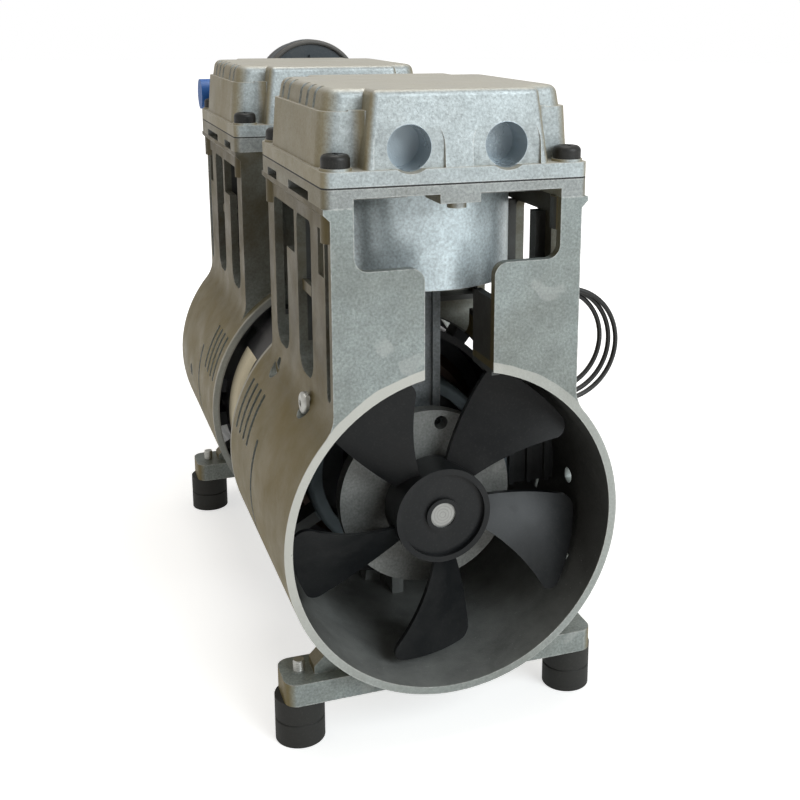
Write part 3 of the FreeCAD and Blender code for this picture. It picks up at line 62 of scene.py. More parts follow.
# The colour sockets of Blender's Mix node, which has others for numbers and vectors
MIX_FIRST = 6
MIX_SECOND = 7
MIX_RESULT = 2


class End(Enum):
    """The two ends of the pump; the rear one is the front one turned half round."""

    FRONT = "front"
    REAR = "rear"

    def node(self, piece: str) -> str:
        """The name of this end's CAD node for a piece."""
        return f"{self.value}_{piece}"


def rgba(colour: Colour) -> tuple[float, float, float, float]:
    """A colour with full alpha."""
    return (*colour, 1.0)


# Shader groups

class Shading:
    """A hand that wires one node tree."""

    def __init__(self, tree: Tree) -> None:
        """Keep the tree that nodes are added to."""
        self.tree = tree

    def add(self, kind: str, **settings: object) -> Node:
        """Add a node and set its plain properties.

        Args:
            kind: Blender's type name of the node.
            settings: Properties of the node by name.

        Returns:
            The new node.
        """
        node = self.tree.nodes.new(kind)
        for name, value in settings.items():
            setattr(node, name, value)
        return node

    def join(self, source: Socket, target: Socket) -> None:
        """Link two sockets."""
        self.tree.links.new(source, target)

    def feed(self, target: Socket, value: Value) -> None:
        """Link a socket to another one, or set it to a plain number or colour.

        Args:
            target: The socket to feed.
            value: What feeds it.
        """
        if isinstance(value, Socket):
            self.join(value, target)
        else:
            target.default_value = rgba(value) if isinstance(value, tuple) else value

    def group(self, tree: Tree, *values: tuple[str, Value]) -> Node:
        """Place a shared group.

        Args:
            tree: The group.
            values: Names of its inputs, each with what feeds it.

        Returns:
            The group's node.
        """
        node = self.add("ShaderNodeGroup", node_tree=tree)
        for name, value in values:
            self.feed(node.inputs[name], value)
        return node

    def place(self) -> Socket:
        """Object coordinates, in metres."""
        return self.add("ShaderNodeTexCoord").outputs["Object"]

    def parts(self, vector: Socket) -> tuple[Socket, ...]:
        """Take a vector apart.

        Args:
            vector: The vector.

        Returns:
            Its X, Y and Z.
        """
        split = self.add("ShaderNodeSeparateXYZ")
        self.join(vector, split.inputs[0])
        return tuple(split.outputs)

    def facing(self) -> tuple[Socket, ...]:
        """The X, Y and Z of the surface's normal."""
        return self.parts(self.add("ShaderNodeNewGeometry").outputs["Normal"])

    def noise(self, place: Socket, scale: Value, detail: float = 3.0, rough: float = 0.6,
              warp: float = 0.0) -> Socket:
        """Read a noise at a place.

        Args:
            place: Coordinates in metres.
            scale: Features for each metre.
            detail: Octaves.
            rough: How strong the finer octaves are.
            warp: Distortion.

        Returns:
            The noise's value, from 0 to 1.
        """
        node = self.add("ShaderNodeTexNoise")
        for name, value in (("Vector", place), ("Scale", scale), ("Detail", detail), ("Roughness", rough),
                            ("Distortion", warp)):
            self.feed(node.inputs[name], value)
        return node.outputs["Fac"]

    def stretch(self, value: Socket, low: float, high: float, to_low: float = 0.0,
                to_high: float = 1.0) -> Socket:
        """Map a value's range onto another one, clamped.

        Args:
            value: The value.
            low: Where the range starts.
            high: Where it ends, above or below its start.
            to_low: What the start becomes.
            to_high: What the end becomes.

        Returns:
            The mapped value.
        """
        node = self.add("ShaderNodeMapRange")
        for name, number in (("Value", value), ("From Min", low), ("From Max", high), ("To Min", to_low),
                             ("To Max", to_high)):
            self.feed(node.inputs[name], number)
        return node.outputs["Result"]

    def math(self, kind: str, first: Value, second: Value = 0.0) -> Socket:
        """Do one arithmetic step.

        Args:
            kind: Blender's name of the operation.
            first: The first number.
            second: The second number, where the operation has one.

        Returns:
            The result.
        """
        node = self.add("ShaderNodeMath", operation=kind)
        self.feed(node.inputs[0], first)
        self.feed(node.inputs[1], second)
        return node.outputs[0]

    def times(self, first: Value, second: Value) -> Socket:
        """One value times another."""
        return self.math("MULTIPLY", first, second)

    def either(self, first: Value, second: Value) -> Socket:
        """The larger of two values."""
        return self.math("MAXIMUM", first, second)

    def unsigned(self, value: Socket) -> Socket:
        """A value without its sign."""
        return self.math("ABSOLUTE", value)

    def distance(self, across: Socket, up: Socket, centre: tuple[float, float]) -> Socket:
        """Measure how far the surface lies from a line along the third coordinate.

        Args:
            across: One coordinate of the surface.
            up: Another one.
            centre: The line's own two.

        Returns:
            The distance in metres.
        """
        first = self.math("POWER", self.math("SUBTRACT", across, centre[0]), 2.0)
        second = self.math("POWER", self.math("SUBTRACT", up, centre[1]), 2.0)
        return self.math("SQRT", self.math("ADD", first, second))

    def below(self, value: Socket, limit: float, soft: float) -> Socket:
        """One up to a limit, and none once past it by the soft edge."""
        return self.stretch(value, limit + soft, limit)

    def within(self, value: Socket, low: float, high: float, soft: float) -> Socket:
        """One between two limits, with soft edges."""
        return self.times(self.stretch(value, low - soft, low), self.below(value, high, soft))

    def mix(self, factor: Value, first: Value, second: Value, blend: str = "MIX") -> Socket:
        """Mix two colours.

        Args:
            factor: How much of the second colour shows.
            first: The colour underneath.
            second: The colour on top.
            blend: How the second colour is laid on.

        Returns:
            The mixed colour.
        """
        node = self.add("ShaderNodeMix", data_type="RGBA", blend_type=blend)
        self.feed(node.inputs[0], factor)
        self.feed(node.inputs[MIX_FIRST], first)
        self.feed(node.inputs[MIX_SECOND], second)
        return node.outputs[MIX_RESULT]


def number_sockets(*names: str) -> list[tuple[str, str]]:
    """Names of group sockets that carry numbers, each with its socket type."""
    return [(name, "NodeSocketFloat") for name in names]


SKIN_OUTPUTS = [("Colour", "NodeSocketColor"), *number_sockets("Roughness", "Height")]


def new_group(name: str, inputs: Sequence[tuple[str, Value]],
              outputs: Sequence[tuple[str, str]]) -> tuple[Tree, Shading, Node, Node]:
    """Start a shader group with named sockets.

    Args:
        name: The group's name.
        inputs: Name and default of each input, a number or a colour.
        outputs: Name and socket type of each output.

    Returns:
        The group, a hand for wiring it, and its input and output nodes.
    """
    group = bpy.data.node_groups.new(name, "ShaderNodeTree")
    hand = Shading(group)
    for label, default in inputs:
        kind = "NodeSocketColor" if isinstance(default, tuple) else "NodeSocketFloat"
        hand.feed(group.interface.new_socket(name=label, in_out="INPUT", socket_type=kind), default)
    for label, kind in outputs:
        group.interface.new_socket(name=label, in_out="OUTPUT", socket_type=kind)
    return group, hand, hand.add("NodeGroupInput"), hand.add("NodeGroupOutput")


def edge_rub_group() -> Tree:
    """Make a mask that is bright along sharp edges, broken up by noise.

    Returns:
        The group.
    """
    group, hand, start, end = new_group("Edge rub", [("Radius", 0.8 * MM), ("Breakup", 600.0)],
                                        number_sockets("Mask"))
    rounded = hand.add("ShaderNodeBevel", samples=4)
    hand.join(start.outputs["Radius"], rounded.inputs["Radius"])
    turn = hand.add("ShaderNodeVectorMath", operation="DOT_PRODUCT")
    hand.join(rounded.outputs["Normal"], turn.inputs[0])
    hand.join(hand.add("ShaderNodeNewGeometry").outputs["Normal"], turn.inputs[1])
    sharp = hand.stretch(turn.outputs["Value"], 0.995, 0.90)
    grain = hand.noise(hand.place(), start.outputs["Breakup"], detail=2.0, rough=0.5)
    hand.join(hand.times(sharp, hand.stretch(grain, 0.35, 0.62)), end.inputs["Mask"])
    return group


def cast_skin_group() -> Tree:
    """Make the skin of a die casting: fine grain, dark specks, cloudy staining and short scratches.

    Returns:
        The group.
    """
    speck_colour = (0.16, 0.16, 0.15)
    scratch_colour = (0.62, 0.62, 0.60)
    scratch_turn = (0.4, 0.9, 0.3)
    scratch_stretch = (1.0, 14.0, 1.0)
    group, hand, start, end = new_group(
        "Cast skin",
        [("Colour", (0.5, 0.5, 0.5)), ("Stain", (0.3, 0.28, 0.22)), ("Stain amount", 0.5),
         ("Speck amount", 0.4), ("Scratch amount", 0.3), ("Roughness", 0.5)], SKIN_OUTPUTS)
    place = hand.place()
    cloud = hand.stretch(hand.noise(place, 22.0, detail=4.0, warp=0.6), 0.40, 0.68)
    stained = hand.mix(hand.times(cloud, start.outputs["Stain amount"]), start.outputs["Colour"],
                       start.outputs["Stain"])
    coarse = hand.stretch(hand.noise(place, 160.0, detail=5.0, rough=0.65), 0.3, 0.7, 0.86, 1.10)
    fine = hand.stretch(hand.noise(place, 1000.0), 0.3, 0.7, 0.74, 1.22)
    mottled = hand.mix(1.0, stained, hand.times(coarse, fine), "MULTIPLY")
    specks = hand.stretch(hand.noise(place, 1500.0), 0.57, 0.72)
    specked = hand.mix(hand.times(specks, start.outputs["Speck amount"]), mottled, speck_colour)
    drag = hand.add("ShaderNodeMapping")
    drag.inputs["Rotation"].default_value = scratch_turn
    drag.inputs["Scale"].default_value = scratch_stretch
    hand.join(place, drag.inputs["Vector"])
    dragged = hand.noise(drag.outputs["Vector"], 60.0, detail=2.0, rough=0.5, warp=0.2)
    streak = hand.stretch(dragged, 0.66, 0.70)
    scratch = hand.times(streak, start.outputs["Scratch amount"])
    hand.join(hand.mix(scratch, specked, scratch_colour), end.inputs["Colour"])
    uneven = hand.stretch(hand.noise(place, 70.0, detail=4.0), 0.3, 0.7, -0.10, 0.10)
    hand.join(hand.math("ADD", start.outputs["Roughness"], uneven), end.inputs["Roughness"])
    bumps = hand.math("ADD", hand.noise(place, 1400.0), hand.times(specks, -0.5))
    hand.join(bumps, end.inputs["Height"])
    return group


@dataclass(frozen=True)
class CaseMarks:
    """Where marks, painted shade and painted light lie on a crankcase, in metres, and the masks that show
    them.

    Depths are counted from the mouth of the barrel, heights from the floor.
    """

    bore: float = 62.2 * MM
    mouth: float = 134.9 * MM
    wobble: float = 0.4 * MM
    tower_half_width: float = 42.6 * MM
    tower_front: float = 3.4 * MM
    tower_back: float = 99.8 * MM
    tower_foot: float = 148.0 * MM
    tower_top: float = 206.3 * MM
    # Strength of the painted shade in the tower's hollow, beside the barrel's
    tower_painted_shade: float = 0.86
    rim_inner: float = 60.0 * MM
    rim_outer: float = 65.2 * MM
    rim_depth: float = 0.6 * MM
    rim_face: float = 0.1 * MM
    tail_reach: float = 26.2 * MM
    tail_inner: float = 60.5 * MM
    tail_brightness: float = 0.5
    # Where the painted shade behind the tower's front wall begins, and the heights where the painted tower
    # shade fades in
    wall_face: float = 3.6 * MM
    wall_back: float = 4.6 * MM
    painted_tower_shade_low: float = 120.0 * MM
    painted_tower_shade_high: float = 150.0 * MM
    boss_inner: float = 34.5 * MM
    boss_outer: float = 40.2 * MM
    boss_back: float = 56.0 * MM
    boss_front: float = 66.0 * MM
    ash_depth: float = 30.0 * MM
    ash_lip: float = 2.0 * MM
    ash_high: float = 70.0 * MM
    ash_low: float = 34.0 * MM
    # Painted light on the turned rim: where it is full, and how dim it gets at the foot and at the right
    painted_light_low: float = 20.0 * MM
    painted_light_high: float = 75.0 * MM
    painted_light_right: float = 56.0 * MM
    painted_light_left: float = -20.0 * MM
    painted_light_at_foot: float = 0.16
    painted_light_at_right: float = 0.45
    soft: float = 0.3 * MM
    fine_soft: float = 0.2 * MM
    boss_soft: float = 0.6 * MM

    def build(self) -> Tree:
        """Make the group of masks: painted shade inside, the rim with painted light, painted side shade, ash,
        bearing ring and painted tower shade.

        Returns:
            The group.
        """
        group, hand, start, end = new_group("Barrel soot", [("Bore", self.bore), ("Mouth", self.mouth)],
                                            number_sockets("Painted cavity shade", "Rim and painted light", "Painted side shade", "Ash", "Ring", "Painted tower shade"))
        place = hand.place()
        across, along, up = hand.parts(place)
        along = hand.unsigned(along)
        wobble = hand.stretch(hand.noise(place, 60.0), 0.3, 0.7, -self.wobble, self.wobble)
        radius = hand.math("ADD", hand.distance(across, up, (0.0, SHAFT_HEIGHT)), wobble)
        depth = hand.math("SUBTRACT", start.outputs["Mouth"], along)
        barrel = hand.times(hand.math("LESS_THAN", radius, start.outputs["Bore"]),
                            hand.math("GREATER_THAN", depth, 0.0))
        # Faces that look left or right, where the painted side shade and the painted tower shade fall
        side = hand.stretch(hand.unsigned(hand.facing()[0]), 0.25, 0.8)
        boss = hand.times(hand.within(radius, self.boss_inner, self.boss_outer, self.boss_soft),
                          hand.stretch(along, self.boss_back, self.boss_front))
        # Painted shade and light: the cavity, side and tower masks darken where shade falls, and the rim mask
        # holds painted light
        for name, mask in (("Painted cavity shade", self.painted_cavity_shade(hand, across, up, depth, barrel)),
                           ("Rim and painted light", self.rim(hand, across, along, up, radius, depth)),
                           ("Painted side shade", self.painted_side_shade(hand, place, side)),
                           ("Painted tower shade", self.painted_tower_shade(hand, place, up, depth, side)),
                           ("Ring", boss),
                           ("Ash", self.ash(hand, place, up, depth, barrel))):
            hand.join(mask, end.inputs[name])
        return group

    def painted_cavity_shade(self, hand: Shading, across: Socket, up: Socket, depth: Socket, barrel: Socket) -> Socket:
        """Paint shade inside the barrel and in the hollow of the tower, near black.

        Args:
            hand: The group's hand.
            across: The surface's X.
            up: The surface's Z.
            depth: How far it lies behind the mouth.
            barrel: One inside the barrel.

        Returns:
            The mask of the painted shade.
        """
        # Painted shade: near black over the whole bore and the tower's hollow, where shade falls
        walls = hand.below(hand.unsigned(across), self.tower_half_width, self.soft)
        room = hand.times(hand.within(depth, self.tower_front, self.tower_back, self.soft),
                          hand.within(up, self.tower_foot, self.tower_top, self.fine_soft))
        return hand.either(barrel, hand.times(hand.times(walls, room), self.tower_painted_shade))

    def rim(self, hand: Shading, across: Socket, along: Socket, up: Socket, radius: Socket,
            depth: Socket) -> Socket:
        """Brighten the turned rim, with painted light fading to its foot and right, and the edge at the motor
        by half.

        Args:
            hand: The group's hand.
            across: The surface's X.
            along: The surface's Y without its sign.
            up: The surface's Z.
            radius: How far it lies from the shaft's axis.
            depth: How far it lies behind the mouth.

        Returns:
            The rim's mask, painted light included.
        """
        ring = hand.times(hand.within(radius, self.rim_inner, self.rim_outer, self.soft),
                          hand.stretch(depth, self.rim_depth, self.rim_face))
        # Painted light: the rim dims towards its foot and its right, as light falls
        painted_light = hand.times(hand.stretch(up, self.painted_light_low, self.painted_light_high, self.painted_light_at_foot, 1.0),
                         hand.stretch(across, self.painted_light_right, self.painted_light_left, self.painted_light_at_right, 1.0))
        tail = hand.times(hand.below(along, self.tail_reach, self.fine_soft),
                          hand.math("GREATER_THAN", radius, self.tail_inner))
        return hand.either(hand.times(ring, painted_light), hand.times(tail, self.tail_brightness))

    def painted_side_shade(self, hand: Shading, place: Socket, side: Socket) -> Socket:
        """Paint warm shade on the faces that look left or right, mottled by a noise cloud.

        Args:
            hand: The group's hand.
            place: Object coordinates.
            side: One where the surface faces left or right.

        Returns:
            The mask of the painted side shade.
        """
        # Painted shade: the side faces turn a warm brown, standing for the weak warm light on them
        cloud = hand.stretch(hand.noise(place, 18.0, detail=4.0, warp=0.5), 0.3, 0.62, 0.86, 1.0)
        return hand.times(side, cloud)

    def painted_tower_shade(self, hand: Shading, place: Socket, up: Socket, depth: Socket, side: Socket) -> Socket:
        """Paint shade on the upper side faces and on all that lies behind the tower's front wall, above the
        barrel.

        Args:
            hand: The group's hand.
            place: Object coordinates.
            up: The surface's Z.
            depth: How far it lies behind the mouth.
            side: One where the surface faces left or right.

        Returns:
            The mask of the painted shade.
        """
        smeared = hand.stretch(hand.noise(place, 32.0, detail=4.0, warp=0.6), 0.35, 0.65, 0.6, 1.0)
        # Painted shade: the side faces and everything behind the front wall darken, in smears
        behind = hand.either(side, hand.stretch(depth, self.wall_face, self.wall_back))
        return hand.times(hand.times(behind, smeared), hand.stretch(up, self.painted_tower_shade_low, self.painted_tower_shade_high))

    def ash(self, hand: Shading, place: Socket, up: Socket, depth: Socket, barrel: Socket) -> Socket:
        """Lay pale dust and flecks along the bottom of the barrel and just inside its mouth.

        Args:
            hand: The group's hand.
            place: Object coordinates.
            up: The surface's Z.
            depth: How far it lies behind the mouth.
            barrel: One inside the barrel.

        Returns:
            The ash's mask.
        """
        lip = hand.stretch(depth, self.ash_depth, self.ash_lip, 0.0, 0.25)
        bottom = hand.stretch(up, self.ash_high, self.ash_low)
        dusty = hand.stretch(hand.noise(place, 55.0, detail=6.0, rough=0.7, warp=0.3), 0.30, 0.70, 0.55, 1.0)
        lying = hand.times(hand.either(lip, bottom), dusty)
        flecks = hand.stretch(hand.noise(place, 900.0, detail=1.0, rough=0.4), 0.76, 0.80, 0.0, 3.0)
        return hand.times(hand.math("ADD", lying, hand.times(flecks, bottom)), barrel)


def port_shine_group() -> Tree:
    """Make a mask that is bright inside the two bored ports at each end of a head.

    Returns:
        The group.
    """
    group, hand, start, end = new_group("Port shine", [("Reach", 8.0 * MM), ("Half spacing", 17.7 * MM)],
                                        number_sockets("Mask"))
    across, _, up = hand.parts(hand.place())
    side = hand.math("SUBTRACT", hand.unsigned(across), start.outputs["Half spacing"])
    far = hand.distance(side, up, (0.0, PORT_HEIGHT))
    hand.join(hand.math("LESS_THAN", far, start.outputs["Reach"]), end.inputs["Mask"])
    return group


def dust_group() -> Tree:
    """Make soft clouds of dust, a roughness that follows them and a fine grain.

    Returns:
        The group.
    """
    group, hand, start, end = new_group(
        "Dust", [("Colour", (0.03, 0.03, 0.03)), ("Dust", (0.35, 0.33, 0.30)), ("Amount", 0.2),
                 ("Roughness", 0.4), ("Grain", 900.0)], SKIN_OUTPUTS)
    place = hand.place()
    cloud = hand.stretch(hand.noise(place, 35.0, detail=5.0, rough=0.7, warp=0.4), 0.42, 0.75)
    powder = hand.stretch(hand.noise(place, 1200.0, detail=2.0, rough=0.5), 0.55, 0.72)
    veil = hand.math("ADD", hand.times(cloud, 0.6), hand.times(powder, 0.4))
    amount = hand.times(veil, start.outputs["Amount"])
    hand.join(hand.mix(amount, start.outputs["Colour"], start.outputs["Dust"]), end.inputs["Colour"])
    rough = hand.math("ADD", start.outputs["Roughness"], hand.times(cloud, 0.18))
    hand.join(rough, end.inputs["Roughness"])
    hand.join(hand.noise(place, start.outputs["Grain"], detail=2.0, rough=0.5), end.inputs["Height"])
    return group


@dataclass
class Effects:
    """The shader groups that the finishes share, built once."""

    edge_rub: Tree = field(default_factory=edge_rub_group)
    cast_skin: Tree = field(default_factory=cast_skin_group)
    case_marks: Tree = field(default_factory=CaseMarks().build)
    port_shine: Tree = field(default_factory=port_shine_group)
    dust: Tree = field(default_factory=dust_group)


# Finishes

def start_material(name: str, metallic: float) -> tuple[Material, Shading, Node]:
    """Make a material with its shader and nothing on it yet.

    Args:
        name: The finish's name.
        metallic: How metallic it is all over.

    Returns:
        The material, a hand for its nodes and its Principled shader.
    """
    material = bpy.data.materials.new(name)
    material.use_nodes = True
    shader = next(node for node in material.node_tree.nodes if node.type == "BSDF_PRINCIPLED")
    shader.inputs["Metallic"].default_value = metallic
    return material, Shading(material.node_tree), shader


def add_bump(hand: Shading, shader: Node, height: Socket, strength: float, distance: float) -> None:
    """Drive a shader's normal by a height.

    Args:
        hand: The material's hand.
        shader: The shader.
        height: The height.
        strength: How much of the bump shows.
        distance: How high a height of one stands, in metres.
    """
    bump = hand.add("ShaderNodeBump")
    bump.inputs["Strength"].default_value = strength
    bump.inputs["Distance"].default_value = distance
    hand.join(height, bump.inputs["Height"])
    hand.join(bump.outputs["Normal"], shader.inputs["Normal"])


@dataclass(frozen=True)
class CastAluminium:
    """Die-cast aluminium with staining, specks and rubbed edges."""

    name: str
    colour: Colour
    stain: Colour
    stain_amount: float = 0.5
    specks: float = 0.4
    scratches: float = 0.1
    roughness: float = 0.5
    metallic: float = 0.3
    rub: Colour = (0.66, 0.66, 0.64)
    rub_amount: float = 0.8
    bump: float = 0.35
    bump_height: float = 0.2 * MM
    # Painted warm shade on the faces that look left or right, in a grime colour
    painted_side_shade: Colour = (0.164, 0.118, 0.026)
    painted_side_shade_amount: float = 0.0

    def build(self, effects: Effects) -> Material:
        """Make the material.

        Args:
            effects: The shared groups.

        Returns:
            The material.
        """
        material, hand, shader = start_material(self.name, self.metallic)
        skin = hand.group(effects.cast_skin, ("Colour", self.colour), ("Stain", self.stain),
                          ("Stain amount", self.stain_amount), ("Speck amount", self.specks),
                          ("Scratch amount", self.scratches), ("Roughness", self.roughness))
        rub = hand.group(effects.edge_rub).outputs["Mask"]
        worn = hand.mix(hand.times(rub, self.rub_amount), skin.outputs["Colour"], self.rub)
        colour, rough = self.soil(hand, effects, worn, skin.outputs["Roughness"])
        hand.join(colour, shader.inputs["Base Color"])
        hand.join(rough, shader.inputs["Roughness"])
        add_bump(hand, shader, skin.outputs["Height"], self.bump, self.bump_height)
        return material

    def soil(self, hand: Shading, effects: Effects, colour: Socket, rough: Socket) -> tuple[Socket, Socket]:
        """Lay painted warm shade on the faces that look left or right, where the finish has any.

        Args:
            hand: The material's hand.
            effects: The shared groups.
            colour: The casting's colour so far.
            rough: Its roughness so far.

        Returns:
            The colour and the roughness with it on.
        """
        if not self.painted_side_shade_amount:
            return colour, rough
        # Painted shade on the side faces
        painted_side_shade = hand.group(effects.case_marks).outputs["Painted side shade"]
        return hand.mix(hand.times(painted_side_shade, self.painted_side_shade_amount), colour, self.painted_side_shade), rough


@dataclass(frozen=True)
class CaseAluminium(CastAluminium):
    """The crankcase's aluminium, with painted shade inside, on its flanks and on its tower, and a bright
    turned rim with painted light.
    """

    # Painted shade on the tower's flanks and behind its front wall, dark brown
    painted_tower_shade: Colour = (0.060, 0.044, 0.014)
    painted_tower_shade_amount: float = 0.9
    # Painted shade inside the barrel and the tower, near black
    painted_cavity_shade: Colour = (0.022, 0.023, 0.025)
    painted_cavity_shade_amount: float = 0.94
    ash: Colour = (0.36, 0.37, 0.355)
    ash_amount: float = 0.85
    ring: Colour = (0.21, 0.26, 0.29)
    ring_amount: float = 1.0
    # The turned rim's colour, laid with painted light that dims at its foot and right
    rim: Colour = (0.57, 0.56, 0.515)
    rim_amount: float = 0.9
    rim_gloss: float = 0.12

    def soil(self, hand: Shading, effects: Effects, colour: Socket, rough: Socket) -> tuple[Socket, Socket]:
        """Lay painted shade on the side faces, the tower and the insides, and ash, then clear its turned
        faces, the rim with painted light.

        Args:
            hand: The material's hand.
            effects: The shared groups.
            colour: The casting's colour so far.
            rough: Its roughness so far.

        Returns:
            The colour and the roughness with them on.
        """
        marks = hand.group(effects.case_marks)
        # Painted shade on the side faces, the tower and the insides, ash, the bearing ring, and the rim with
        # painted light, laid in turn
        for name, amount, layer in (("Painted side shade", self.painted_side_shade_amount, self.painted_side_shade),
                                    ("Painted tower shade", self.painted_tower_shade_amount, self.painted_tower_shade),
                                    ("Painted cavity shade", self.painted_cavity_shade_amount, self.painted_cavity_shade),
                                    ("Ash", self.ash_amount, self.ash),
                                    ("Ring", self.ring_amount, self.ring),
                                    ("Rim and painted light", self.rim_amount, self.rim)):
            colour = hand.mix(hand.times(marks.outputs[name], amount), colour, layer)
        return colour, hand.math("SUBTRACT", rough, hand.times(marks.outputs["Rim and painted light"], self.rim_gloss))


@dataclass(frozen=True)
class HeadAluminium(CastAluminium):
    """The heads' aluminium, with pale dust on top and clean metal in the ports."""

    dust: Colour = (0.55, 0.51, 0.42)
    dust_amount: float = 0.75
    port: Colour = (0.40, 0.46, 0.50)
    port_gloss: float = 0.15

    def soil(self, hand: Shading, effects: Effects, colour: Socket, rough: Socket) -> tuple[Socket, Socket]:
        """Lay painted shade on the faces that look left or right and dust on top, and clear the ports.

        Args:
            hand: The material's hand.
            effects: The shared groups.
            colour: The casting's colour so far.
            rough: Its roughness so far.

        Returns:
            The colour and the roughness with them on.
        """
        colour, rough = super().soil(hand, effects, colour, rough)
        lying = hand.times(hand.stretch(hand.facing()[2], 0.55, 0.95), self.dust_amount)
        colour = hand.mix(lying, colour, self.dust)
        shine = hand.group(effects.port_shine).outputs["Mask"]
        colour = hand.mix(shine, colour, self.port)
        return colour, hand.math("SUBTRACT", rough, hand.times(shine, self.port_gloss))


@dataclass(frozen=True)
class DustyPlastic:
    """Moulded plastic, rubber or paint with a veil of dust."""

    name: str
    colour: Colour
    dust: Colour = (0.30, 0.28, 0.26)
    amount: float = 0.15
    roughness: float = 0.4
    metallic: float = 0.0
    bump: float = 0.12
    bump_height: float = 0.1 * MM
    ior: float = 1.5

    def build(self, effects: Effects) -> Material:
        """Make the material.

        Args:
            effects: The shared groups.

        Returns:
            The material.
        """
        material, hand, shader = start_material(self.name, self.metallic)
        shader.inputs["IOR"].default_value = self.ior
        veil = hand.group(effects.dust, ("Colour", self.colour), ("Dust", self.dust), ("Amount", self.amount),
                          ("Roughness", self.roughness))
        hand.join(veil.outputs["Colour"], shader.inputs["Base Color"])
        hand.join(veil.outputs["Roughness"], shader.inputs["Roughness"])
        add_bump(hand, shader, veil.outputs["Height"], self.bump, self.bump_height)
        return material


@dataclass(frozen=True)
class TurnedSteel:
    """Machined steel with fine turning marks, bands along an axis or rings round it."""

    name: str
    colour: Colour
    axis: str = "Y"
    roughness: float = 0.32
    metallic: float = 0.9
    marks: float = 900.0
    faced: bool = False
    waver: float = 1.5
    soiled: float = 0.45
    soil_amount: float = 0.5
    groove: float = 0.5
    bump: float = 0.15
    bump_height: float = 0.05 * MM

    def build(self, effects: Effects) -> Material:
        """Make the material.

        Args:
            effects: The shared groups.

        Returns:
            The material.
        """
        material, hand, shader = start_material(self.name, self.metallic)
        soil, groove = (tuple(share * part for part in self.colour) for share in (self.soiled, self.groove))
        veil = hand.group(effects.dust, ("Colour", self.colour), ("Dust", soil),
                          ("Amount", self.soil_amount), ("Roughness", self.roughness))
        wave = hand.add("ShaderNodeTexWave", wave_type="RINGS" if self.faced else "BANDS",
                        bands_direction=self.axis, rings_direction=self.axis)
        wave.inputs["Scale"].default_value = self.marks
        wave.inputs["Distortion"].default_value = self.waver
        centred = hand.add("ShaderNodeMapping")
        centred.inputs["Location"].default_value = (0.0, 0.0, -SHAFT_HEIGHT)
        hand.join(hand.place(), centred.inputs["Vector"])
        hand.join(centred.outputs["Vector"], wave.inputs["Vector"])
        cut = hand.stretch(wave.outputs["Fac"], 0.0, 0.45, 0.45 if self.faced else 0.1, 0.0)
        hand.join(hand.mix(cut, veil.outputs["Colour"], groove), shader.inputs["Base Color"])
        hand.join(veil.outputs["Roughness"], shader.inputs["Roughness"])
        add_bump(hand, shader, wave.outputs["Fac"], self.bump, self.bump_height)
        return material


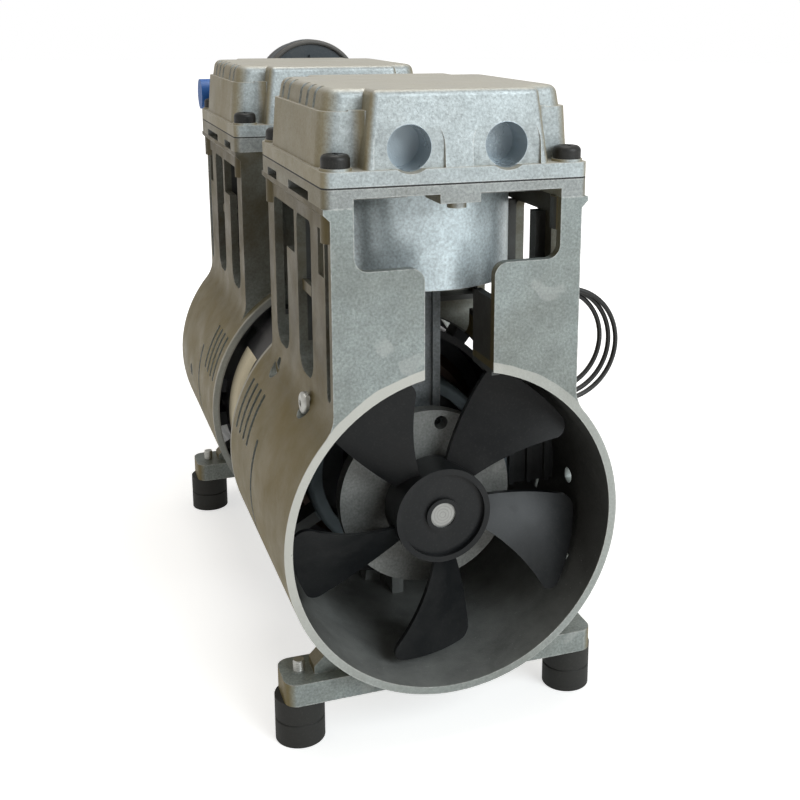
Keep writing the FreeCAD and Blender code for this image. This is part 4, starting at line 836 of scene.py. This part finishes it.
@dataclass
class Finishes:
    """Every finish of the pump, made once and handed to the pieces."""

    effects: Effects = field(default_factory=Effects)

    def __post_init__(self) -> None:
        """Build the materials."""
        self.build_castings()
        self.build_steels()
        self.build_plastics()

    def build_castings(self) -> None:
        """The cast and turned aluminium."""
        made = self.effects
        # The grime colours and amounts of the castings are painted shade on their side faces
        self.casting = CaseAluminium(
            "soiled casting", colour=(0.30, 0.335, 0.325), stain=(0.21, 0.225, 0.205), stain_amount=0.65,
            scratches=0.2, roughness=0.48, metallic=0.25, painted_side_shade_amount=0.98).build(made)
        self.head = HeadAluminium(
            "blasted head casting", colour=(0.45, 0.495, 0.505), stain=(0.33, 0.345, 0.34), stain_amount=0.55,
            roughness=0.46, metallic=0.35, painted_side_shade=(0.285, 0.215, 0.085), painted_side_shade_amount=0.75).build(made)
        self.plate = CastAluminium(
            "valve plate casting", colour=(0.34, 0.36, 0.355), stain=(0.25, 0.25, 0.23), specks=0.45,
            roughness=0.46, painted_side_shade_amount=0.7).build(made)
        self.sleeve = CastAluminium(
            "satin sleeve", colour=(0.60, 0.68, 0.71), stain=(0.56, 0.63, 0.66), stain_amount=0.15,
            specks=0.02, scratches=0.0, roughness=0.38, metallic=0.5, bump=0.08).build(made)
        self.crank = CastAluminium(
            "crank casting", colour=(0.22, 0.225, 0.215), stain=(0.12, 0.12, 0.11), stain_amount=0.6,
            specks=0.5, rub=(0.30, 0.30, 0.29)).build(made)
        self.rod = CastAluminium(
            "rod casting", colour=(0.20, 0.22, 0.23), stain=(0.08, 0.08, 0.08), stain_amount=0.6,
            specks=0.3, roughness=0.45, metallic=0.4, rub=(0.35, 0.36, 0.36)).build(made)

    def build_steels(self) -> None:
        """The turned, plated and laminated metals."""
        made = self.effects
        self.steel = TurnedSteel("turned steel", (0.34, 0.34, 0.335), roughness=0.38).build(made)
        self.shaft = TurnedSteel("shaft steel", (0.40, 0.40, 0.385), roughness=0.36, marks=270.0,
                                 faced=True).build(made)
        self.zinc = TurnedSteel("plated screws", (0.60, 0.60, 0.57), axis="Z", roughness=0.35, metallic=0.85,
                                marks=1200.0).build(made)
        self.laminations = TurnedSteel("laminations", (0.05, 0.05, 0.055), roughness=0.55, metallic=0.6,
                                       marks=500.0).build(made)
        self.windings = TurnedSteel("varnished windings", (0.07, 0.035, 0.02), roughness=0.4, metallic=0.3,
                                    marks=350.0).build(made)

    def build_plastics(self) -> None:
        """The mouldings, rubber, paint and paper."""
        made = self.effects
        self.shell = DustyPlastic("shell paint", (0.018, 0.018, 0.02), amount=0.25,
                                  roughness=0.35).build(made)
        self.fan = DustyPlastic("fan plastic", (0.008, 0.009, 0.010), amount=0.06, roughness=0.30, bump=0.05,
                                ior=1.34).build(made)
        self.black = DustyPlastic("black fittings", (0.012, 0.013, 0.014), amount=0.10,
                                  roughness=0.42).build(made)
        self.filter_face = DustyPlastic("filter face", (0.030, 0.042, 0.052), amount=0.25).build(made)
        self.filter_rim = DustyPlastic("filter rim", (0.10, 0.095, 0.088), amount=0.3,
                                       roughness=0.5).build(made)
        self.screws = DustyPlastic("blackened screws", (0.013, 0.013, 0.012), amount=0.12, roughness=0.42,
                                   metallic=0.3).build(made)
        self.rubber = DustyPlastic("foot rubber", (0.014, 0.014, 0.012), dust=(0.13, 0.12, 0.11),
                                   roughness=0.65, bump=0.3).build(made)
        self.gasket = DustyPlastic("gasket", (0.03, 0.03, 0.03), amount=0.2, roughness=0.8).build(made)
        self.cup = DustyPlastic("piston cup", (0.05, 0.045, 0.04), amount=0.2, roughness=0.5).build(made)
        self.blue = DustyPlastic("blue cap", (0.03, 0.16, 0.55), amount=0.1).build(made)
        self.lead = DustyPlastic("lead sheath", (0.012, 0.012, 0.012), amount=0.05,
                                 roughness=0.3).build(made)
        self.label = DustyPlastic("aged label", (0.78, 0.70, 0.52), dust=(0.35, 0.29, 0.18), amount=0.5,
                                  roughness=0.55).build(made)


# Pieces

def mesh_data(name: str, mesh: bmesh.types.BMesh) -> bpy.types.Mesh:
    """Turn a bmesh into mesh data.

    Args:
        name: The data's name.
        mesh: The shape, freed afterwards.

    Returns:
        The mesh data.
    """
    data = bpy.data.meshes.new(name)
    mesh.to_mesh(data)
    mesh.free()
    return data


def new_object(name: str, data: bpy.types.ID) -> bpy.types.Object:
    """Put an object into the scene.

    Args:
        name: The object's name.
        data: Its mesh, curve, lamp or camera.

    Returns:
        The object.
    """
    thing = bpy.data.objects.new(name, data)
    bpy.context.scene.collection.objects.link(thing)
    return thing


def new_piece(name: str, mesh: bmesh.types.BMesh, material: Material) -> bpy.types.Object:
    """Make a smooth piece that rides on the pump's frame.

    Args:
        name: The piece's name.
        mesh: Its shape, with its faces turned outwards here.
        material: Its finish.

    Returns:
        The piece.
    """
    bmesh.ops.recalc_face_normals(mesh, faces=mesh.faces)
    for face in mesh.faces:
        face.smooth = True
    piece = new_object(name, mesh_data(name, mesh))
    piece.data.materials.append(material)
    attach(piece, "frame")
    log.info("%s built", name)
    return piece


def both_ends(**coats: Material) -> dict[str, Material]:
    """The finishes of pieces that both ends have, by the names of their CAD nodes."""
    return {end.node(piece): material for end in End for piece, material in coats.items()}


@dataclass
class SubAssembly:
    """Pieces that are built and dressed together."""

    finishes: Finishes

    def build(self) -> None:
        """Add the pieces that only the visual model has, which are none unless a sub-assembly says so."""

    def coats(self) -> dict[str, Material]:
        """The finish of each CAD node."""
        raise NotImplementedError

    def dress(self) -> None:
        """Give each CAD node its finish."""
        for name, material in self.coats().items():
            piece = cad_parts[name]
            if not piece.material_slots:
                piece.data.materials.append(material)
            for slot in piece.material_slots:
                slot.material = material
            log.info("%s dressed in %s", name, material.name)


# Sub-assemblies

@dataclass
class Castings(SubAssembly):
    """The crankcases, sleeves, valve plates, reeds, gaskets, heads and their screws."""

    def coats(self) -> dict[str, Material]:
        """The finish of each CAD node."""
        made = self.finishes
        return {"side_screws": made.zinc,
                **both_ends(crankcase=made.casting, valve_plate=made.plate, head=made.head,
                            cylinder_sleeve=made.sleeve, head_gasket=made.gasket, head_screws=made.screws,
                            intake_reed=made.steel, outlet_reed=made.steel, outlet_stop=made.steel)}


@dataclass
class Feet(SubAssembly):
    """Rubber feet and the threaded studs that stand through the pads."""

    half_across: float = 56.0 * MM
    half_along: float = 112.9 * MM
    stud_radius: float = 2.0 * MM
    thread_low: float = 27.3 * MM
    thread_high: float = 31.6 * MM
    pitch: float = 0.8 * MM
    root_sunk: float = 0.05 * MM
    crest_height: float = 0.30 * MM
    steps: int = 24

    def build(self) -> None:
        """Wind a thread on each stud."""
        mesh = bmesh.new()
        for side in (-1, 1):
            for end in (-1, 1):
                self.wind(mesh, Vector((side * self.half_across, end * self.half_along, self.thread_low)))
        new_piece("stud_threads", mesh, self.finishes.zinc)

    def wind(self, mesh: bmesh.types.BMesh, foot: Vector) -> None:
        """Stack sharp rings that read as a thread.

        Args:
            mesh: The mesh to add to.
            foot: The thread's lowest point on the stud's axis.
        """
        root = self.stud_radius - self.root_sunk
        crest = self.stud_radius + self.crest_height
        for turn in range(int((self.thread_high - self.thread_low) / self.pitch)):
            low = foot + Vector((0, 0, turn * self.pitch))
            profile = [mesh.verts.new(low + Vector((reach, 0, up)))
                       for reach, up in ((root, 0.0), (crest, self.pitch / 2), (root, self.pitch))]
            edges = [mesh.edges.new(pair) for pair in zip(profile, profile[1:])]
            bmesh.ops.spin(mesh, geom=profile + edges, cent=foot, axis=(0, 0, 1), dvec=(0, 0, 0),
                           angle=math.tau, steps=self.steps, use_merge=True)

    def coats(self) -> dict[str, Material]:
        """The finish of each CAD node."""
        made = self.finishes
        return {"foot_studs": made.zinc, **both_ends(left_foot=made.rubber, right_foot=made.rubber)}


@dataclass
class Motor(SubAssembly):
    """The motor between the crankcases, with its bare label."""

    label_low: float = 146.0
    label_high: float = 190.0
    label_start: float = 1.0 * MM
    label_end: float = 23.5 * MM
    label_lift: float = 0.25 * MM
    label_thickness: float = 0.2 * MM
    label_steps: int = 24

    def build(self) -> None:
        """Wrap the blank label round the shell, between two angles in degrees."""
        mesh = bmesh.new()
        radius = SHELL_RADIUS + self.label_lift
        angle = math.radians(self.label_low)
        start = Vector((radius * math.cos(angle), self.label_start, SHAFT_HEIGHT + radius * math.sin(angle)))
        across = Vector((0, self.label_end - self.label_start, 0))
        ends = [mesh.verts.new(start), mesh.verts.new(start + across)]
        edge = mesh.edges.new(ends)
        bmesh.ops.spin(mesh, geom=ends + [edge], cent=(0, 0, SHAFT_HEIGHT), axis=(0, -1, 0), dvec=(0, 0, 0),
                       angle=math.radians(self.label_high - self.label_low), steps=self.label_steps,
                       use_merge=False)
        label = new_piece("motor_label", mesh, self.finishes.label)
        label.modifiers.new("paper", "SOLIDIFY").thickness = self.label_thickness

    def coats(self) -> dict[str, Material]:
        """The finish of each CAD node."""
        made = self.finishes
        return {"motor_shell": made.shell, "stator_core": made.laminations, "rotor": made.laminations,
                "motor_shaft": made.shaft,
                **both_ends(windings=made.windings, bearing_inner=made.steel, bearing_outer=made.steel)}


@dataclass
class RunningGear(SubAssembly):
    """Cranks, rods, cups and fans."""

    def coats(self) -> dict[str, Material]:
        """The finish of each CAD node."""
        made = self.finishes
        return both_ends(crank=made.crank, rod=made.rod, rod_bearing_inner=made.steel,
                         rod_bearing_outer=made.steel, piston_cup=made.cup, cup_retainer=made.steel,
                         piston_screw=made.steel, fan=made.fan)


@dataclass
class PortFittings(SubAssembly):
    """The intake filter and the capped elbow on the rear head."""

    centre: Point = (17.7 * MM, 157.0 * MM, PORT_HEIGHT)
    rim_outer: float = 28.4 * MM
    rim_inner: float = 25.6 * MM
    rim_height: float = 1.9 * MM
    inner_slope: float = 0.5 * MM
    outer_slope: float = 0.7 * MM
    steps: int = 96

    def build(self) -> None:
        """Raise the rim round the filter's face."""
        outline = [(self.rim_inner, 0.0), (self.rim_inner + self.inner_slope, self.rim_height),
                   (self.rim_outer - self.outer_slope, self.rim_height),
                   (self.rim_outer, self.rim_height / 2), (self.rim_outer, 0.0)]
        mesh = bmesh.new()
        corners = [mesh.verts.new(Vector(self.centre) + Vector((0, -rise, reach))) for reach, rise in outline]
        edges = [mesh.edges.new(pair) for pair in zip(corners, corners[1:] + corners[:1])]
        bmesh.ops.spin(mesh, geom=corners + edges, cent=self.centre, axis=(0, 1, 0), dvec=(0, 0, 0),
                       angle=math.tau, steps=self.steps, use_merge=True)
        new_piece("filter_rim", mesh, self.finishes.filter_rim)

    def coats(self) -> dict[str, Material]:
        """The finish of each CAD node."""
        made = self.finishes
        return {"filter_nipple": made.black, "filter_base": made.filter_face, "filter_cover": made.black,
                "outlet_elbow": made.black, "outlet_cap": made.blue}


@dataclass(frozen=True)
class Loop:
    """One turn of the coil: its centre, its radius and how far along the pump it hangs, in millimetres."""

    across: float
    up: float
    radius: float
    along: float

    def towards(self, other: "Loop", share: float) -> "Loop":
        """The loop that lies a share of the way to another one."""
        pairs = zip(astuple(self), astuple(other))
        return Loop(*(start + share * (end - start) for start, end in pairs))

    def point(self, angle: float) -> Point:
        """Find a point of the loop.

        Args:
            angle: Its angle round the loop, in degrees.

        Returns:
            The point.
        """
        turn = math.radians(angle)
        across, up = self.radius * math.cos(turn), self.radius * math.sin(turn)
        return (self.across + across, self.along, self.up + up)


@dataclass
class MotorLeads(SubAssembly):
    """The motor's lead: out of a grommet, wound in a loose coil beside the motor, and into a plug.

    The points of its route are in millimetres, and its angles in degrees.
    """

    radius: float = 1.2 * MM
    length: float = 0.52
    leaves: Point = (59.2910, -15.0, 102.3270)
    lead_in: tuple[Point, ...] = ((64.2, -15.6, 103.6), (69.4, -17.0, 102.6), (74.6, -18.2, 97.6))
    loops: tuple[Loop, ...] = (Loop(98.6, 114.3, 28.4, -18.2), Loop(97.2, 114.9, 27.4, -16.2),
                               Loop(94.6, 116.2, 26.2, -13.9), Loop(92.4, 116.4, 24.6, -12.4))
    first_angle: float = 236.0
    last_angle: float = 1262.0
    step_angle: float = 24.0
    lead_out: tuple[Point, ...] = ((76.8, -9.6, 104.8), (77.8, -6.4, 102.9), (77.91, -3.4, 102.38),
                                   (77.91, -0.5, 102.38))

    def route(self) -> list[Point]:
        """Lead the cord from the grommet round its loops to the plug.

        Returns:
            The cord's control points.
        """
        points = [self.leaves, *self.lead_in]
        for step in range(int((self.last_angle - self.first_angle) / self.step_angle) + 1):
            turned = step * self.step_angle
            low = min(int(turned / 360.0), len(self.loops) - 2)
            share = min(turned / 360.0 - low, 1.0)
            loop = self.loops[low].towards(self.loops[low + 1], share)
            points.append(loop.point(self.first_angle + turned))
        return points + list(self.lead_out)

    def build(self) -> None:
        """Lay the cord on its route as one smooth spline."""
        curve = bpy.data.curves.new("motor_lead", "CURVE")
        curve.dimensions = "3D"
        curve.bevel_depth = self.radius
        curve.bevel_resolution = 3
        curve.resolution_u = 6
        points = self.route()
        line = curve.splines.new("NURBS")
        line.points.add(len(points) - 1)
        for spot, point in zip(line.points, points):
            spot.co = (*(part * MM for part in point), 1.0)
        line.order_u = 3
        line.use_endpoint_u = True
        lead = new_object("motor_lead", curve)
        curve.materials.append(self.finishes.lead)
        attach(lead, "frame")
        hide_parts("lead_tube", "lead_coil", "lead_tail")
        log.info("motor_lead laid through %d points", len(points))

    def coats(self) -> dict[str, Material]:
        """The finish of each CAD node."""
        return {"lead_grommet": self.finishes.gasket, "lead_plug": self.finishes.black}


# Studio

@dataclass(frozen=True)
class Lamp:
    """A round soft lamp, with its place and width in metres and its power in watts."""

    name: str
    place: Point
    width: float
    power: float
    colour: Colour

    def hang(self, aim: Point) -> None:
        """Hang the lamp and turn it.

        Args:
            aim: The point that it faces.
        """
        data = bpy.data.lights.new(self.name, "AREA")
        data.shape = "DISK"
        data.size = self.width
        data.energy = self.power
        data.color = self.colour
        lamp = new_object(self.name, data)
        lamp.location = self.place
        lamp.rotation_euler = (Vector(aim) - Vector(self.place)).to_track_quat("-Z", "Y").to_euler()
        log.info("%s hung", self.name)


@dataclass
class Studio:
    """Floor, light and camera at the photograph's viewing angle.

    Lengths are in metres, angles in radians, and the lens and the centre of its view in pixels of the
    photograph.
    """

    camera_place: Point = (-0.13819, -0.50187, 0.27098)
    yaw: float = 0.351
    pitch: float = -0.229
    roll: float = -0.005
    focal_pixels: float = 1156.51
    centre: tuple[float, float] = (450.0, 280.0)
    sensor_width: float = 36.0
    clip_start: float = 0.01
    floor_radius: float = 6.0
    floor_edges: int = 64
    floor_drop: float = 0.2 * MM
    floor_grey: float = 0.80
    floor_roughness: float = 0.9
    floor_glow: float = 0.62
    glow_near: float = 0.25
    glow_far: float = 0.75
    mirrored: float = 0.45
    fill_colour: Colour = (1.0, 0.955, 0.87)
    fill_strength: float = 0.24
    aim: Point = (0.0, 0.0, 0.12)
    lamps: tuple[Lamp, ...] = (Lamp("key_lamp", (0.8, -1.6, 1.0), 1.3, 24.0, (0.90, 0.97, 1.0)),
                               Lamp("fill_lamp", (-1.6, -0.1, 1.3), 1.2, 1.5, (1.0, 0.93, 0.80)),
                               Lamp("top_lamp", (0.1, 0.2, 2.0), 1.2, 15.0, (1.0, 0.985, 0.95)))

    def build(self) -> None:
        """Set the whole studio."""
        self.set_camera()
        self.set_floor()
        self.set_world()
        for lamp in self.lamps:
            lamp.hang(self.aim)
        bpy.context.scene.view_settings.view_transform = "Standard"
        log.info("studio set")

    def set_camera(self) -> None:
        """Stand the camera where the photograph was taken from."""
        data = bpy.data.cameras.new("photo_camera")
        data.sensor_width = self.sensor_width
        data.lens = self.focal_pixels * self.sensor_width / PHOTO_SIDE
        data.shift_x = -(self.centre[0] - PHOTO_SIDE / 2) / PHOTO_SIDE
        data.shift_y = (self.centre[1] - PHOTO_SIDE / 2) / PHOTO_SIDE
        data.clip_start = self.clip_start
        camera = new_object("photo_camera", data)
        turn = (Matrix.Rotation(-self.yaw, 4, "Z") @ Matrix.Rotation(math.pi / 2 + self.pitch, 4, "X")
                @ Matrix.Rotation(-self.roll, 4, "Z"))
        camera.matrix_world = Matrix.Translation(self.camera_place) @ turn
        bpy.context.scene.camera = camera

    def set_floor(self) -> None:
        """Lay a wide pale disc that shows white to the camera and keeps the shadow."""
        mesh = bmesh.new()
        bmesh.ops.create_circle(mesh, cap_ends=True, segments=self.floor_edges, radius=self.floor_radius)
        floor = new_object("studio_floor", mesh_data("studio_floor", mesh))
        floor.location = (0, 0, -self.floor_drop)
        material, hand, shader = start_material("pale floor", 0.0)
        shader.inputs["Base Color"].default_value = rgba((self.floor_grey,) * 3)
        shader.inputs["Roughness"].default_value = self.floor_roughness
        shader.inputs["Emission Color"].default_value = rgba((1.0, 1.0, 1.0))
        across, along, _ = hand.parts(hand.place())
        far = hand.stretch(hand.distance(across, along, (0.0, 0.0)), self.glow_near, self.glow_far,
                           self.floor_glow, 1.0)
        hand.join(hand.times(far, self.seen(hand)), shader.inputs["Emission Strength"])
        floor.data.materials.append(material)

    def seen(self, hand: Shading) -> Socket:
        """Tell what the eye sees from what lights the pump.

        Args:
            hand: The hand of the floor or the world.

        Returns:
            One for what the camera sees, straight or through glass, less for what metal mirrors.
        """
        path = hand.add("ShaderNodeLightPath")
        return hand.either(path.outputs["Is Camera Ray"],
                           hand.either(hand.times(path.outputs["Is Glossy Ray"], self.mirrored),
                                       path.outputs["Is Transmission Ray"]))

    def set_world(self) -> None:
        """Set a white backdrop for the eye and for reflections, and a plain fill for everything else."""
        world = bpy.data.worlds.new("studio_world")
        bpy.context.scene.world = world
        world.use_nodes = True
        hand = Shading(world.node_tree)
        backdrop = next(node for node in world.node_tree.nodes if node.type == "BACKGROUND")
        output = next(node for node in world.node_tree.nodes if node.type == "OUTPUT_WORLD")
        fill = hand.add("ShaderNodeBackground")
        for light, colour, strength in ((backdrop, (1.0, 1.0, 1.0), 1.0),
                                        (fill, self.fill_colour, self.fill_strength)):
            light.inputs["Color"].default_value = rgba(colour)
            light.inputs["Strength"].default_value = strength
        choice = hand.add("ShaderNodeMixShader")
        hand.join(self.seen(hand), choice.inputs[0])
        hand.join(fill.outputs[0], choice.inputs[1])
        hand.join(backdrop.outputs[0], choice.inputs[2])
        hand.join(choice.outputs[0], output.inputs["Surface"])


def main() -> None:
    """Build and dress every sub-assembly, then set the studio."""
    logging.basicConfig(level=logging.INFO, format="%(name)s: %(message)s")
    finishes = Finishes()
    for kind in (Castings, Feet, Motor, RunningGear, PortFittings, MotorLeads):
        assembly = kind(finishes)
        assembly.build()
        assembly.dress()
    Studio().build()


if __name__ == "__main__":
    main()
